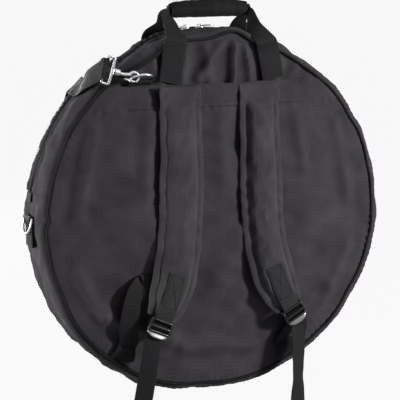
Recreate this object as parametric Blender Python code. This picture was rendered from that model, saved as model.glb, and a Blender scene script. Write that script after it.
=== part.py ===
"""Cymbal bag: a round padded bag that hangs from its grip, with a zip opening and backpack straps.

Metres, +Z up. The origin is the middle of the grip, which holds the bag up. The back, with the
backpack straps, faces -Y, and the front, which opens, faces +Y. Most heights are counted from
the bag's centre, which hangs GRIP_RISE below the grip. Angles round the bag start at its top
and turn towards +X.
"""

import math

import bmesh
import bpy
from mathutils import Matrix, Vector

# Clearance between pieces that touch
FIT = 0.0003

# Bag body
SEAM_RADIUS = 0.284
SIDE_BULGE = 0.012
DEPTH = 0.086
SHOULDER = 0.014
PANEL_WALL = 0.007
SIDE_WALL = 0.005
GRIP_LIFT = 0.044
PIPING_RADIUS = 0.0025
BACK_CROWN = 0.014
CROWN_POWER = 2.5
BODY_STEPS = 48
RING_SHARES = (1.0, 0.93, 0.8, 0.6, 0.33)

# Stow pocket on the back
POCKET_CROWN = 0.011
POCKET_WALL = 0.002
POCKET_SEAT = 0.0008
HEM_DROP = 0.071

# Main zip
ZIP_Y = 0.014
ZIP_GAP = 0.012
ZIP_END_HEIGHT = 0.047
TAPE_WIDTH = 0.014
TAPE_WALL = 0.001
COIL_WIDTH = 0.0062
COIL_RECESS = 0.0015
ZIP_STOP_LENGTH = 0.014
ZIP_STOP_WALL = 0.0016
SLIDER_LENGTH = 0.015
SLIDER_WIDTH = 0.009
SLIDER_HEIGHT = 0.0036
SLIDER_BEVEL = 0.0009
BRIDGE_RADIUS = 0.0047
BRIDGE_WIRE = 0.0009
PULL_LENGTH = 0.024
PULL_WIDTH = 0.0075
PULL_WIRE = 0.0010
LEFT_SLIDER_ANGLE = -5.2
RIGHT_SLIDER_ANGLE = -0.4

# Dividers
DIVIDER_WALL = 0.003
DIVIDER_CLEARANCE = 0.023
DIVIDER_SPACING = 0.024
DIVIDER_TOP_SHARE = 0.86

# Front pocket
FRONT_POCKET_RADIUS = 0.205
FRONT_POCKET_DEPTH = 0.020
FRONT_POCKET_TOP = -0.012
FRONT_POCKET_WALL = 0.002
FRONT_POCKET_SCOOP = 0.018
POCKET_BINDING_WIDTH = 0.012

# Webbing
WEBBING_WIDTH = 0.038
WEBBING_WALL = 0.0022
STRAP_WEBBING_WIDTH = 0.030
STRAP_WEBBING_WALL = 0.0018

# Handles and grip
LEG_SPREAD = 0.088
GRIP_LENGTH = 0.134
GRIP_RADIUS = 0.0130
GRIP_WALL = 0.0024
GRIP_START = 70.0
GRIP_TURN = 400.0
HANDLE_FOLD_WIDTH = 0.012
HANDLE_FOLD_WALL = 0.0040
RIM_CLEARANCE = 0.0075
LEG_FOOT_DROP = 0.003
FRONT_LEG_LENGTH = 0.075

# Backpack straps
STRAP_X = 0.068
STRAP_LENGTH = 0.368
LEFT_STRAP_SWAY = 0.040
RIGHT_STRAP_SWAY = 0.048
STRAP_WIDTH = 0.076
STRAP_WALL = 0.010
STRAP_STAND = 0.038
STRAP_TONGUE_RISE = 0.004
STRAP_TONGUE_GAP = 0.0008
# Along the strap, sideways, width, distance from the back and thickness
STRAP_SHARES = (
    (0.02, 0.0, 0.92, 0.54, 0.9),
    (0.1, 0.0, 0.93, 0.68, 1.0),
    (0.2, 0.0, 0.94, 0.78, 1.0),
    (0.3, 0.0, 0.95, 0.86, 1.0),
    (0.43, 0.03, 1.0, 0.9, 1.0),
    (0.59, 0.08, 0.98, 0.93, 1.0),
    (0.72, 0.2, 0.99, 0.98, 1.0),
    (0.8, 0.34, 1.0, 1.03, 1.0),
    (0.87, 0.51, 0.98, 1.08, 1.0),
    (0.94, 0.75, 0.88, 1.13, 0.9),
    (1.0, 1.0, 0.68, 1.16, 0.6),
)
# Half width and half thickness of the padded section's corners
PAD_SECTION_SHARES = (
    (1, 0.4),
    (0.86, 1),
    (-0.86, 1),
    (-1, 0.4),
    (-1, -0.4),
    (-0.86, -1),
    (0.86, -1),
    (1, -0.4),
)
PATCH_LENGTH = 0.076

# Ladder locks, from the strap's end downwards
LOCK_WIDTH = 0.040
LOCK_WALL = 0.0040
LOCK_START = 0.002
LOCK_TOP_BAR = 0.003
LOCK_FIRST_SLOT = 0.008
LOCK_MIDDLE_BAR = 0.004
LOCK_SECOND_SLOT = 0.005
LOCK_TAB = 0.008
LOCK_SLOT_WIDTH = 0.032
LOCK_BEVEL = 0.0008
OVERRUN = 0.004

# Lower webbings, tails and anchors
TAIL_LENGTH = 0.185
TAIL_DRIFT = 0.012
LEFT_ANCHOR_ANGLE = 36.0
RIGHT_ANCHOR_ANGLE = 28.5
ANCHOR_LENGTH = 0.026
ANCHOR_WIDTH = 0.042
ANCHOR_WALL = 0.003
LOOP_RISE = 0.072
# From the lock to the anchor: along the way, up the rise and outwards
SLACK_SHARES = (
    (0.06, 0.4, 0.7),
    (0.16, 0.85, 0.62),
    (0.2, 0.98, 0.57),
    (0.27, 1.02, 0.48),
    (0.34, 0.96, 0.45),
    (0.46, 0.72, 0.5),
    (0.7, 0.28, 0.42),
)

# D-rings and their tabs
RING_WIDTH = 0.043
RING_REACH = 0.026
RING_WIRE = 0.002
TAB_WIDTH = 0.034
TAB_WALL = 0.0018
HEM_RING_X = -0.131
HEM_RING_LIFT = 0.008
HEM_RING_TILT = 62.0
SIDE_RING_HEIGHT = 0.008
SIDE_TAB_LENGTH = 0.046
LEFT_RING_TILT = 12.0
RIGHT_RING_TILT = 38.0
RIGHT_RING_Y = 0.018

# Snap hooks
HOOK_LOOP_LENGTH = 0.0425
HOOK_LOOP_WIDTH = 0.013
HOOK_LOOP_CORNER = 0.004
HOOK_WIRE = 0.0021
HOOK_BARREL_RADIUS = 0.0052
HOOK_BARREL_LENGTH = 0.011
HOOK_SHANK_LENGTH = 0.026
HOOK_EYE_RADIUS = 0.0078
HOOK_EYE_SWEEP = 215.0
HOOK_EYE_START = 20.0
# Place of the left hook's eye on the hem ring: along the bar and out along the bow
LEFT_EYE_SHARES = (-0.82, 0.57)
LEFT_BACK_SHARES = (-0.955, 0.06, 0.29)
RIGHT_EYE_SHARES = (0.82, 0.57)
RIGHT_BACK_SHARES = (0, 0.25, -0.97)
RIGHT_SIDE_SHARES = (0.818, 0.561, 0.145)
RIGHT_LOOP_TURN = -55.0
GATE_RADIUS = 0.0017
GATE_LENGTH = 0.017
THUMB_RADIUS = 0.003

# Shoulder strap
SHOULDER_WIDTH = 0.036
SHOULDER_WALL = 0.0022
SHOULDER_TURN_BACK = 0.016
SHOULDER_LIFT = 0.0125
LEFT_CROSSING_ANGLE = -48.5
RIGHT_CROSSING_ANGLE = 116.0
FOLD_CLEARANCE = 0.037
# The strap off the left hook, over the side: half depth and radius
EDGE_SHARES = ((-0.9, 0.995), (-0.45, 1.0), (0.0, 1.0), (0.5, 0.995), (0.85, 0.985))
# Along the strap's straight line on the front
FRONT_START_SHARE = 0.03
FRONT_END_SHARE = 0.965
PIPING_REACH_SHARE = 0.04
POCKET_REACH_SHARES = (0.55, 0.93)
FRONT_SHARES = (0.06, 0.2)
LOWER_SHARES = (0.93, 0.9, 0.75, 0.6, 0.56, 0.54)
ADJUSTER_SHARE = 0.35
ADJUSTER_WIDTH = 0.047
ADJUSTER_LENGTH = 0.028
ADJUSTER_WALL = 0.0035
ADJUSTER_BAR = 0.005

SIDE_RADIUS = SEAM_RADIUS + SIDE_BULGE
GRIP_RISE = SEAM_RADIUS + GRIP_LIFT
HEM_HEIGHT = SEAM_RADIUS - HEM_DROP
DIVIDER_RADIUS = SIDE_RADIUS - SIDE_WALL - DIVIDER_CLEARANCE
HALF_DEPTH = DEPTH / 2
CENTRE = Vector((0, 0, -GRIP_RISE))
ZIP_END_ANGLE = math.degrees(math.acos(ZIP_END_HEIGHT / SIDE_RADIUS))

CLOTH = ((0.058, 0.055, 0.060), 0.85, 0.0)
WEBBING = ((0.022, 0.021, 0.023), 0.8, 0.0)
LINING = ((0.030, 0.030, 0.032), 0.9, 0.0)
PLASTIC = ((0.010, 0.010, 0.011), 0.25, 0.0)
CHROME = ((0.75, 0.75, 0.76), 0.18, 1.0)


def material(name, look):
    """A Principled material from a colour, a roughness and a metallic value."""
    made = bpy.data.materials.get(name)
    if made is None:
        colour, roughness, metallic = look
        made = bpy.data.materials.new(name)
        made.use_nodes = True
        shader = made.node_tree.nodes["Principled BSDF"]
        shader.inputs["Base Color"].default_value = (*colour, 1)
        shader.inputs["Roughness"].default_value = roughness
        shader.inputs["Metallic"].default_value = metallic
        made.diffuse_color = (*colour, 1)
    return made


def link(name, data, look, place=None):
    """Put a mesh or curve into the scene as one named piece with its own material."""
    piece = bpy.data.objects.new(name, data)
    bpy.context.scene.collection.objects.link(piece)
    data.materials.clear()
    data.materials.append(material(name, look))
    if place is not None:
        piece.matrix_world = place
    return piece


def mesh_piece(name, bm, look, place=None):
    """Turn a bmesh into a piece with outward faces and smooth shading up to sharp edges."""
    bmesh.ops.remove_doubles(bm, verts=bm.verts, dist=FIT / 30)
    bmesh.ops.recalc_face_normals(bm, faces=bm.faces)
    mesh = bpy.data.meshes.new(name)
    bm.to_mesh(mesh)
    bm.free()
    mesh.shade_smooth()
    mesh.set_sharp_from_angle(angle=math.radians(40))
    return link(name, mesh, look, place)


def sweep(name, rings, look, place=None):
    """A closed solid through rings of points, all with the same count, capped at both ends."""
    bm = bmesh.new()
    made = [[bm.verts.new(p) for p in ring] for ring in rings]
    count = len(made[0])
    for one, two in zip(made, made[1:]):
        for i in range(count):
            j = (i + 1) % count
            bm.faces.new((one[i], one[j], two[j], two[i]))
    bm.faces.new(made[0])
    bm.faces.new(made[-1])
    return mesh_piece(name, bm, look, place)


def turned(name, profile, look, start=None, end=None, steps=BODY_STEPS):
    """A profile of radius and Y turned about the bag's axis, all round or from start to end."""
    whole = start is None
    first, last = (0, 360) if whole else (start, end)
    bm = bmesh.new()
    rings = []
    for step in range(steps + 1):
        if whole and step == steps:
            rings.append(rings[0])
            continue
        angle = math.radians(first + (last - first) * step / steps)
        rings.append([bm.verts.new(round_point(r, angle, y)) for r, y in profile])
    for one, two in zip(rings, rings[1:]):
        for i in range(len(profile)):
            j = (i + 1) % len(profile)
            if profile[i][0] == 0 and profile[j][0] == 0:
                continue
            bm.faces.new((one[i], one[j], two[j], two[i]))
    if not whole:
        bm.faces.new(rings[0])
        bm.faces.new(rings[-1])
    return mesh_piece(name, bm, look)


def round_point(radius, angle, y):
    """A point at a radius, an angle in radians from the top, and a Y."""
    return CENTRE + Vector((radius * math.sin(angle), y, radius * math.cos(angle)))


def back_point(x, out, height):
    """A point by its distance out of the back seam's plane and its height above the centre."""
    return CENTRE + Vector((x, -HALF_DEPTH - out, height))


def wire(name, points, radius, look, closed=False, resolution=1, radii=None, place=None):
    """A round wire along points, with filled ends where it isn't closed."""
    curve = bpy.data.curves.new(name, "CURVE")
    curve.dimensions = "3D"
    curve.bevel_depth = radius
    curve.bevel_resolution = resolution
    curve.use_fill_caps = not closed
    spline = curve.splines.new("POLY")
    spline.points.add(len(points) - 1)
    for i, point in enumerate(points):
        spline.points[i].co = (*point, 1)
        spline.points[i].radius = radii[i] if radii else 1
    spline.use_cyclic_u = closed
    spline.use_smooth = True
    return link(name, curve, look, place)


def box_cutter(name, low, high, place=None):
    """A hidden box that a Boolean cuts away."""
    bm = bmesh.new()
    bmesh.ops.create_cube(bm, size=1)
    for v in bm.verts:
        v.co = Vector([low[i] if v.co[i] < 0 else high[i] for i in range(3)])
    mesh = bpy.data.meshes.new(name)
    bm.to_mesh(mesh)
    bm.free()
    cutter = bpy.data.objects.new(name, mesh)
    bpy.context.scene.collection.objects.link(cutter)
    cutter.hide_render = True
    cutter.display_type = "WIRE"
    if place is not None:
        cutter.matrix_world = place
    return cutter


def combine(piece, other, operation):
    """Cut or join another object into a piece."""
    boolean = piece.modifiers.new(operation.lower(), "BOOLEAN")
    boolean.operation = operation
    boolean.solver = "EXACT"
    boolean.object = other
    other.hide_render = True
    other.display_type = "WIRE"


def tangents(path):
    """Unit directions along a path, from the neighbours of each point."""
    last = len(path) - 1
    return [(path[min(i + 1, last)] - path[max(i - 1, 0)]).normalized() for i in range(last + 1)]


def webbing(name, path, across, look=WEBBING, width=WEBBING_WIDTH, wall=WEBBING_WALL, section=None):
    """A flat band along a path: across gives its width's direction, and width and wall may vary."""
    section = section or ((1, 1), (-1, 1), (-1, -1), (1, -1))
    rings = []
    for i, (point, ahead) in enumerate(zip(path, tangents(path))):
        side = (across[i] if isinstance(across, list) else across).normalized()
        side = (side - ahead * side.dot(ahead)).normalized()
        normal = side.cross(ahead)
        half_width = (width[i] if isinstance(width, list) else width) / 2
        half_wall = (wall[i] if isinstance(wall, list) else wall) / 2
        rings.append([point + side * half_width * u + normal * half_wall * v for u, v in section])
    return sweep(name, rings, look)


def prism(name, outline, low_y, high_y, look):
    """A flat plate: an outline of x and height carried from one Y to another."""
    rings = [[CENTRE + Vector((x, y, height)) for x, height in outline] for y in (low_y, high_y)]
    return sweep(name, rings, look)


def turn_from_top(angle):
    """The place of a piece that is modelled at the bag's top and turned round its axis."""
    return Matrix.Translation(CENTRE) @ Matrix.Rotation(math.radians(angle), 4, "Y")


def back_out(radius):
    """How far the back panel stands out of its seam's plane at a radius."""
    return BACK_CROWN * (1 - min(1, radius / SEAM_RADIUS) ** CROWN_POWER)


def pocket_out(radius):
    """How far the stow pocket's outer face stands out at a radius."""
    share = min(1, radius / pocket_radius())
    return back_out(radius) + POCKET_SEAT + POCKET_WALL + POCKET_CROWN * (1 - share**CROWN_POWER)


def pocket_radius():
    """The stow pocket ends just inside the back piping."""
    return SEAM_RADIUS - PIPING_RADIUS - FIT


def side_radius(y):
    """Outer radius of the side wall: level in the middle, and round towards each seam."""
    over = max(0, abs(y) - (HALF_DEPTH - SHOULDER)) / SHOULDER
    foot = (SEAM_RADIUS + FIT) * facet()
    return foot + (SIDE_RADIUS - foot) * math.sqrt(max(0, 1 - over**2))


def facet(steps=BODY_STEPS):
    """How much further out a faceted round wall's corners lie than the middle of its flats."""
    return 1 / math.cos(math.pi / steps)


def wall_profile(low_y, high_y):
    """Cross-section of the side wall between two Ys, with a foot beside each panel that it meets."""
    bends = [HALF_DEPTH - SHOULDER * share for share in (0, 0.12, 0.45, 1)]
    stations = sorted({low_y, high_y, *[s * b for b in bends for s in (-1, 1) if low_y < s * b < high_y]})
    outer = [(side_radius(y), y) for y in stations]
    inner = []
    for seam, end in ((HALF_DEPTH, high_y), (-HALF_DEPTH, low_y)):
        toward = math.copysign(1, seam)
        if end == seam:
            foot = [
                ((SEAM_RADIUS + FIT) * facet(), seam - toward * PANEL_WALL),
                (SIDE_RADIUS - SIDE_WALL, seam - toward * SHOULDER),
            ]
            inner += foot if toward > 0 else foot[::-1]
        else:
            inner.append((SIDE_RADIUS - SIDE_WALL, end))
    return outer + inner


def make_back():
    """Back panel with its crown, its piping and the stow pocket that lies over it."""
    outer = [(SEAM_RADIUS * s, -HALF_DEPTH - back_out(SEAM_RADIUS * s)) for s in RING_SHARES]
    inner = [(r, y + PANEL_WALL) for r, y in outer]
    crown = [(0, -HALF_DEPTH - back_out(0)), (0, -HALF_DEPTH - back_out(0) + PANEL_WALL)]
    turned("back_panel", outer + crown + inner[::-1], CLOTH)
    ring = [
        round_point(SEAM_RADIUS, 2 * math.pi * i / BODY_STEPS, -HALF_DEPTH - PIPING_RADIUS - FIT)
        for i in range(BODY_STEPS)
    ]
    wire("back_piping", ring, PIPING_RADIUS, WEBBING, closed=True)

    radius = pocket_radius()
    outer = [(radius * s, -HALF_DEPTH - pocket_out(radius * s)) for s in RING_SHARES]
    inner = [(r, y + POCKET_WALL) for r, y in outer]
    crown = [(0, -HALF_DEPTH - pocket_out(0)), (0, -HALF_DEPTH - pocket_out(0) + POCKET_WALL)]
    pocket = turned("back_pocket", outer + crown + inner[::-1], CLOTH)
    far = SIDE_RADIUS + OVERRUN
    low = CENTRE + Vector((-far, -DEPTH, HEM_HEIGHT))
    high = CENTRE + Vector((far, 0, far))
    combine(pocket, box_cutter("pocket_mouth_cutter", low, high), "DIFFERENCE")


def make_side():
    """Side wall: the lower band, and above it a strip on each side of the zip."""
    end = ZIP_END_ANGLE
    turned("gusset_base", wall_profile(-HALF_DEPTH, HALF_DEPTH), CLOTH, end, 360 - end, BODY_STEPS * 2 // 3)
    half = end - math.degrees(FIT / SIDE_RADIUS)
    back_edge, front_edge = ZIP_Y - ZIP_GAP / 2, ZIP_Y + ZIP_GAP / 2
    steps = BODY_STEPS // 2
    turned("gusset_back_strip", wall_profile(-HALF_DEPTH, back_edge), CLOTH, -half, half, steps)
    turned("gusset_front_strip", wall_profile(front_edge, HALF_DEPTH), CLOTH, -half, half, steps)

    tape_top = SIDE_RADIUS - SIDE_WALL - FIT
    coil_top = SIDE_RADIUS - COIL_RECESS
    for name, toward in (("zip_back_tape", -1), ("zip_front_tape", 1)):
        edge = ZIP_Y + toward * FIT / 2
        coil = edge + toward * COIL_WIDTH / 2
        rim = edge + toward * TAPE_WIDTH
        profile = [
            (tape_top - TAPE_WALL, edge),
            (coil_top, edge),
            (coil_top, coil),
            (tape_top, coil),
            (tape_top, rim),
            (tape_top - TAPE_WALL, rim),
        ]
        turned(name, profile, WEBBING, -half, half, steps)

    reach = math.degrees(ZIP_STOP_LENGTH / SIDE_RADIUS)
    half_width = ZIP_GAP / 2 + ZIP_STOP_WALL * 2
    base = SIDE_RADIUS + FIT
    profile = [
        (base, ZIP_Y - half_width),
        (base + ZIP_STOP_WALL, ZIP_Y - half_width),
        (base + ZIP_STOP_WALL, ZIP_Y + half_width),
        (base, ZIP_Y + half_width),
    ]
    for name, start in (("zip_stop_left", 360 - end - reach), ("zip_stop_right", end)):
        turned(name, profile, CLOTH, start, start + reach, 2)


def chord_outline(radius, low, high, steps):
    """Outline of a disc between two heights, as x and height."""
    outline = []
    for side in (1, -1):
        start = math.acos(max(-1, min(1, high / radius)))
        end = math.acos(max(-1, min(1, low / radius)))
        arc = [start + (end - start) * i / steps for i in range(steps + 1)]
        points = [(side * radius * math.sin(a), radius * math.cos(a)) for a in arc]
        outline += points if side > 0 else points[::-1]
    return [p for i, p in enumerate(outline) if math.dist(p, outline[i - 1]) > FIT]


def piping_arc(name, start, end):
    """Piping of the front seam from one angle to another."""
    steps = max(4, round(BODY_STEPS * (end - start) / 360))
    arc = [math.radians(start + (end - start) * i / steps) for i in range(steps + 1)]
    y = HALF_DEPTH + PIPING_RADIUS + FIT
    wire(name, [round_point(SEAM_RADIUS, a, y) for a in arc], PIPING_RADIUS, WEBBING)


def make_front():
    """Front panel in its sewn lower part and its opening upper part, each with its piping."""
    steps = BODY_STEPS // 3
    inside = HALF_DEPTH - PANEL_WALL
    lower = chord_outline(SEAM_RADIUS, -SEAM_RADIUS, ZIP_END_HEIGHT - FIT / 2, steps)
    upper = chord_outline(SEAM_RADIUS, ZIP_END_HEIGHT + FIT / 2, SEAM_RADIUS, steps)
    prism("front_panel_lower", lower, inside, HALF_DEPTH, CLOTH)
    prism("front_panel_upper", upper, inside, HALF_DEPTH, CLOTH)
    clear = math.degrees(4 * PIPING_RADIUS / SEAM_RADIUS)
    fold = math.degrees(math.acos(ZIP_END_HEIGHT / SEAM_RADIUS))
    piping_arc("front_piping_upper", -fold + clear, fold - clear)
    piping_arc("front_piping_lower", fold + clear, 360 - fold - clear)


def make_dividers():
    """Two padded dividers that stand between the cymbals, sewn in at the bottom."""
    for name, toward in (("divider_back", -1), ("divider_front", 1)):
        top = DIVIDER_RADIUS * DIVIDER_TOP_SHARE
        outline = chord_outline(DIVIDER_RADIUS, -DIVIDER_RADIUS, top, BODY_STEPS // 4)
        drop = DIVIDER_CLEARANCE - FIT
        outline = [(x, height - drop) for x, height in outline]
        middle = toward * DIVIDER_SPACING / 2
        prism(name, outline, middle - DIVIDER_WALL / 2, middle + DIVIDER_WALL / 2, LINING)


def make_front_pocket():
    """Open-topped pocket on the front panel: its wall, its face and a binding along the mouth."""
    radius, wall = FRONT_POCKET_RADIUS, FRONT_POCKET_WALL
    start = math.degrees(math.acos(FRONT_POCKET_TOP / radius))
    face = HALF_DEPTH + FRONT_POCKET_DEPTH
    side = [
        (radius - wall, HALF_DEPTH + FIT),
        (radius, HALF_DEPTH + FIT),
        (radius, face - wall - FIT),
        (radius - wall, face - wall - FIT),
    ]
    turned("front_pocket_gusset", side, CLOTH, start, 360 - start, BODY_STEPS // 2)

    arc_steps = BODY_STEPS // 2
    arc = [math.radians(start + (360 - 2 * start) * i / arc_steps) for i in range(arc_steps + 1)]
    outline = [(radius * math.sin(a), radius * math.cos(a)) for a in arc]
    scoop_steps = BODY_STEPS // 6
    mouth = [(radius * (2 * i / scoop_steps - 1)) for i in range(1, scoop_steps)]

    def lip(x):
        return FRONT_POCKET_TOP - FRONT_POCKET_SCOOP * (1 - (x / radius) ** 2)

    outline += [(x, lip(x)) for x in mouth]
    prism("front_pocket_panel", outline, face - wall, face, CLOTH)

    half = radius - 2 * wall
    xs = [half * (2 * i / scoop_steps - 1) for i in range(scoop_steps + 1)]
    lower = POCKET_BINDING_WIDTH
    outline = [(x, lip(x)) for x in xs] + [(x, lip(x) - lower) for x in reversed(xs)]
    prism("front_pocket_binding", outline, face + FIT, face + FIT + wall / 2, WEBBING)


def handle_path(front):
    """Left half of a handle, from its foot on a panel over the rim and up to its end of the grip."""
    toward = 1 if front else -1
    rim = math.sqrt(SEAM_RADIUS**2 - LEG_SPREAD**2)
    low = rim - FRONT_LEG_LENGTH if front else HEM_HEIGHT + LEG_FOOT_DROP
    points = []
    for share in (0, 0.3, 0.6, 0.85, 1):
        height = low + (rim - low) * share
        lift = 0 if front else back_out(math.hypot(LEG_SPREAD - WEBBING_WIDTH / 2, height))
        lift = max(lift, 2 * PIPING_RADIUS + FIT if share > 0.8 else 0)
        y = toward * (HALF_DEPTH + lift + 2 * FIT + WEBBING_WALL / 2)
        points.append(CENTRE + Vector((-LEG_SPREAD, y, height)))
    top = Vector((-GRIP_LENGTH / 2, toward * (HANDLE_FOLD_WALL / 2 + FIT), 0))
    over = Vector((-LEG_SPREAD, toward * (HALF_DEPTH + RIM_CLEARANCE), rim + RIM_CLEARANCE * 2))
    over += CENTRE
    fold = HANDLE_FOLD_WIDTH
    corner = top + Vector((-fold, toward * fold, -fold))
    points += [over, over.lerp(corner, 0.5), corner]
    points += [top + Vector((-fold * 0.45, toward * fold * 0.3, -fold * 0.35)), top]
    points.append(Vector((-GRIP_LENGTH / 6, top.y, 0)))
    return points


def make_handle(name, front):
    """A webbing handle: two legs sewn to a panel, folded to half width inside the grip."""
    path = handle_path(front)
    # Share of the fold at each point: flat along the leg, folded in the grip
    folded = [0] * (len(path) - 5) + [0.3, 0.7, 1, 1, 1]
    rings = []
    for point, ahead, share in zip(path, tangents(path), folded):
        side = Vector((1 - share, 0, -share))
        side = (side - ahead * side.dot(ahead)).normalized()
        normal = side.cross(ahead)
        half_width = (WEBBING_WIDTH + (HANDLE_FOLD_WIDTH - WEBBING_WIDTH) * share) / 2
        half_wall = (WEBBING_WALL + (HANDLE_FOLD_WALL - WEBBING_WALL) * share) / 2
        corners = ((1, 1), (-1, 1), (-1, -1), (1, -1))
        rings.append([point + side * half_width * u + normal * half_wall * v for u, v in corners])
    mirrored = [[Vector((-p.x, p.y, p.z)) for p in ring] for ring in reversed(rings)]
    return sweep(name, rings + mirrored, WEBBING)


def make_grip():
    """Padded wrap round both handles: one turn and a flap that closes over it along the top."""
    steps = 20
    rise = GRIP_WALL + FIT
    first = GRIP_RADIUS - GRIP_WALL - rise
    inner = []
    outer = []
    for i in range(steps + 1):
        degrees = GRIP_TURN * i / steps
        angle = math.radians(GRIP_START + degrees)
        radius = first + rise * degrees / 360
        inner.append((math.cos(angle) * radius, math.sin(angle) * radius))
        outer.append((math.cos(angle) * (radius + GRIP_WALL), math.sin(angle) * (radius + GRIP_WALL)))
    profile = outer + inner[::-1]
    half = GRIP_LENGTH / 2 - HANDLE_FOLD_WALL
    rings = [[Vector((x, y, z)) for y, z in profile] for x in (-half, half)]
    sweep("grip_wrap", rings, WEBBING)


def d_outline():
    """Centre line of a D-ring about its bar, as distance along the bar and reach."""
    half = RING_WIDTH / 2 - RING_WIRE
    reach = RING_REACH - half
    bow = [(half * math.cos(a), reach + half * math.sin(a)) for a in [math.pi * i / 10 for i in range(11)]]
    return [(half * share, 0) for share in (-1, -0.5, 0.5, 1)] + bow


def d_ring(name, bar, along, reach):
    """A D-ring about its bar: along is the bar's direction, reach that of the bow."""
    normal = along.cross(reach)
    place = Matrix.Translation(bar) @ Matrix((along, reach, normal)).transposed().to_4x4()
    points = [Vector((x, y, 0)) for x, y in d_outline()]
    return wire(name, points, RING_WIRE, CHROME, closed=True, resolution=2, place=place)


def ring_tab(name, bar, along, down, out, length):
    """A webbing tab folded round a D-ring's bar: down points to its sewn end, out from the bag."""
    turn_radius = RING_WIRE + FIT + TAB_WALL / 2
    layer = TAB_WALL + FIT
    join = min(2 * turn_radius, length * 0.6)
    path = [bar + down * length - out * turn_radius, bar + down * join - out * turn_radius]
    for i in range(7):
        angle = math.pi * i / 6
        path.append(bar - out * turn_radius * math.cos(angle) - down * turn_radius * math.sin(angle))
    path.append(bar + down * (join * 0.5) + out * (turn_radius * 0.82))
    path.append(bar + down * join - out * (turn_radius - layer - RING_WIRE * 0.3))
    path.append(bar + down * (join + RING_WIRE) - out * (turn_radius - layer))
    path.append(bar + down * length - out * (turn_radius - layer))
    return webbing(name, path, along, width=TAB_WIDTH, wall=TAB_WALL)


def make_rings():
    """Three D-rings: one at the stow pocket's hem, one on each side of the bag."""
    tab_base = RING_WIRE + FIT + TAB_WALL
    height = HEM_HEIGHT + HEM_RING_LIFT
    edge = math.hypot(abs(HEM_RING_X) - TAB_WIDTH / 2, HEM_HEIGHT)
    bar = back_point(HEM_RING_X, back_out(edge) + tab_base + 2 * FIT, height)
    out, down = Vector((0, -1, 0)), Vector((0, 0, -1))
    tilt = math.radians(HEM_RING_TILT)
    bow = Vector((0, -math.sin(tilt), math.cos(tilt)))
    d_ring("dring_hem", bar, Vector((1, 0, 0)), bow)
    ring_tab("dring_hem_tab", bar, Vector((1, 0, 0)), down, out, HEM_RING_LIFT - 2 * FIT)
    places = {"hem": (bar, bow)}
    for name, side in (("left", -1), ("right", 1)):
        out = Vector((side, 0, 0))
        radius = SIDE_RADIUS + FIT + tab_base
        across = RIGHT_RING_Y if side > 0 else 0
        bar = CENTRE + Vector((side * radius, across, SIDE_RING_HEIGHT))
        tilt = math.radians(LEFT_RING_TILT if side < 0 else RIGHT_RING_TILT)
        bow = Vector((side * math.sin(tilt), 0, -math.cos(tilt)))
        d_ring(f"dring_{name}", bar, Vector((0, 1, 0)), bow)
        ring_tab(f"dring_{name}_tab", bar, Vector((0, 1, 0)), down, out, SIDE_TAB_LENGTH)
        places[name] = (bar, bow)
    return places


def slider(name, angle, toward):
    """A zip slider that rides the coil round the bag, and its wire pull."""
    base = SIDE_RADIUS - COIL_RECESS + FIT
    top = base + SLIDER_HEIGHT
    half, cut = SLIDER_WIDTH / 2, SLIDER_BEVEL
    profile = [
        (-half, base),
        (half, base),
        (half, top - cut),
        (half - cut, top),
        (-half + cut, top),
        (-half, top - cut),
    ]
    length = SLIDER_LENGTH / 2
    rings = []
    for x, narrow in ((-length, 0.75), (-length * 0.5, 1), (length * 0.5, 1), (length, 0.75)):
        rings.append([Vector((x, ZIP_Y + y * narrow, z)) for y, z in profile])
    body = sweep(name, rings, CHROME, turn_from_top(angle))
    arch = [math.pi * i / 8 for i in range(9)]
    sunk = top - BRIDGE_WIRE
    bow = BRIDGE_RADIUS
    points = [Vector((bow * math.cos(a), ZIP_Y, sunk + bow * math.sin(a))) for a in arch]
    bridge = wire(f"{name}_bridge_guide", points, BRIDGE_WIRE, CHROME, place=turn_from_top(angle))
    combine(body, as_mesh(bridge), "UNION")

    hinge = top + PULL_WIRE + FIT
    pull_place = turn_from_top(angle) @ Matrix.Translation(Vector((0, ZIP_Y, hinge)))
    half_width = PULL_WIDTH / 2
    run = PULL_LENGTH - half_width
    bend = [math.pi * i / 6 - math.pi / 2 for i in range(7)]
    near = half_width * 0.8
    outline = [(near * (1 - math.cos(a)), -half_width * math.sin(a)) for a in bend]
    outline += [(run + half_width * math.cos(a), half_width * math.sin(a)) for a in bend]
    points = [Vector((toward * x, y, 0)) for x, y in outline]
    pull_name = name.replace("slider", "pull")
    pull = wire(pull_name, points, PULL_WIRE, CHROME, closed=True, place=pull_place)
    pull.parent = body
    pull.matrix_parent_inverse = body.matrix_world.inverted()
    return body


def as_mesh(piece):
    """A hidden mesh copy of a curve, for a Boolean."""
    graph = bpy.context.evaluated_depsgraph_get()
    graph.update()
    mesh = bpy.data.meshes.new_from_object(piece.evaluated_get(graph))
    guide = bpy.data.objects.new(piece.name + "_mesh", mesh)
    bpy.context.scene.collection.objects.link(guide)
    guide.matrix_world = piece.matrix_world.copy()
    guide.hide_render = True
    guide.display_type = "WIRE"
    bpy.data.objects.remove(piece)
    return guide


def strap_stations(side):
    """Centre points of a padded strap, below its tongue, with width and thickness."""
    stations = []
    aside = LEFT_STRAP_SWAY if side < 0 else RIGHT_STRAP_SWAY
    for drop, sway, width, stand, wall in STRAP_SHARES:
        x = side * (STRAP_X + aside * sway)
        point = back_point(x, STRAP_STAND * stand, HEM_HEIGHT - STRAP_LENGTH * drop)
        stations.append((point, STRAP_WIDTH * width, STRAP_WALL * wall))
    return stations


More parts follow.
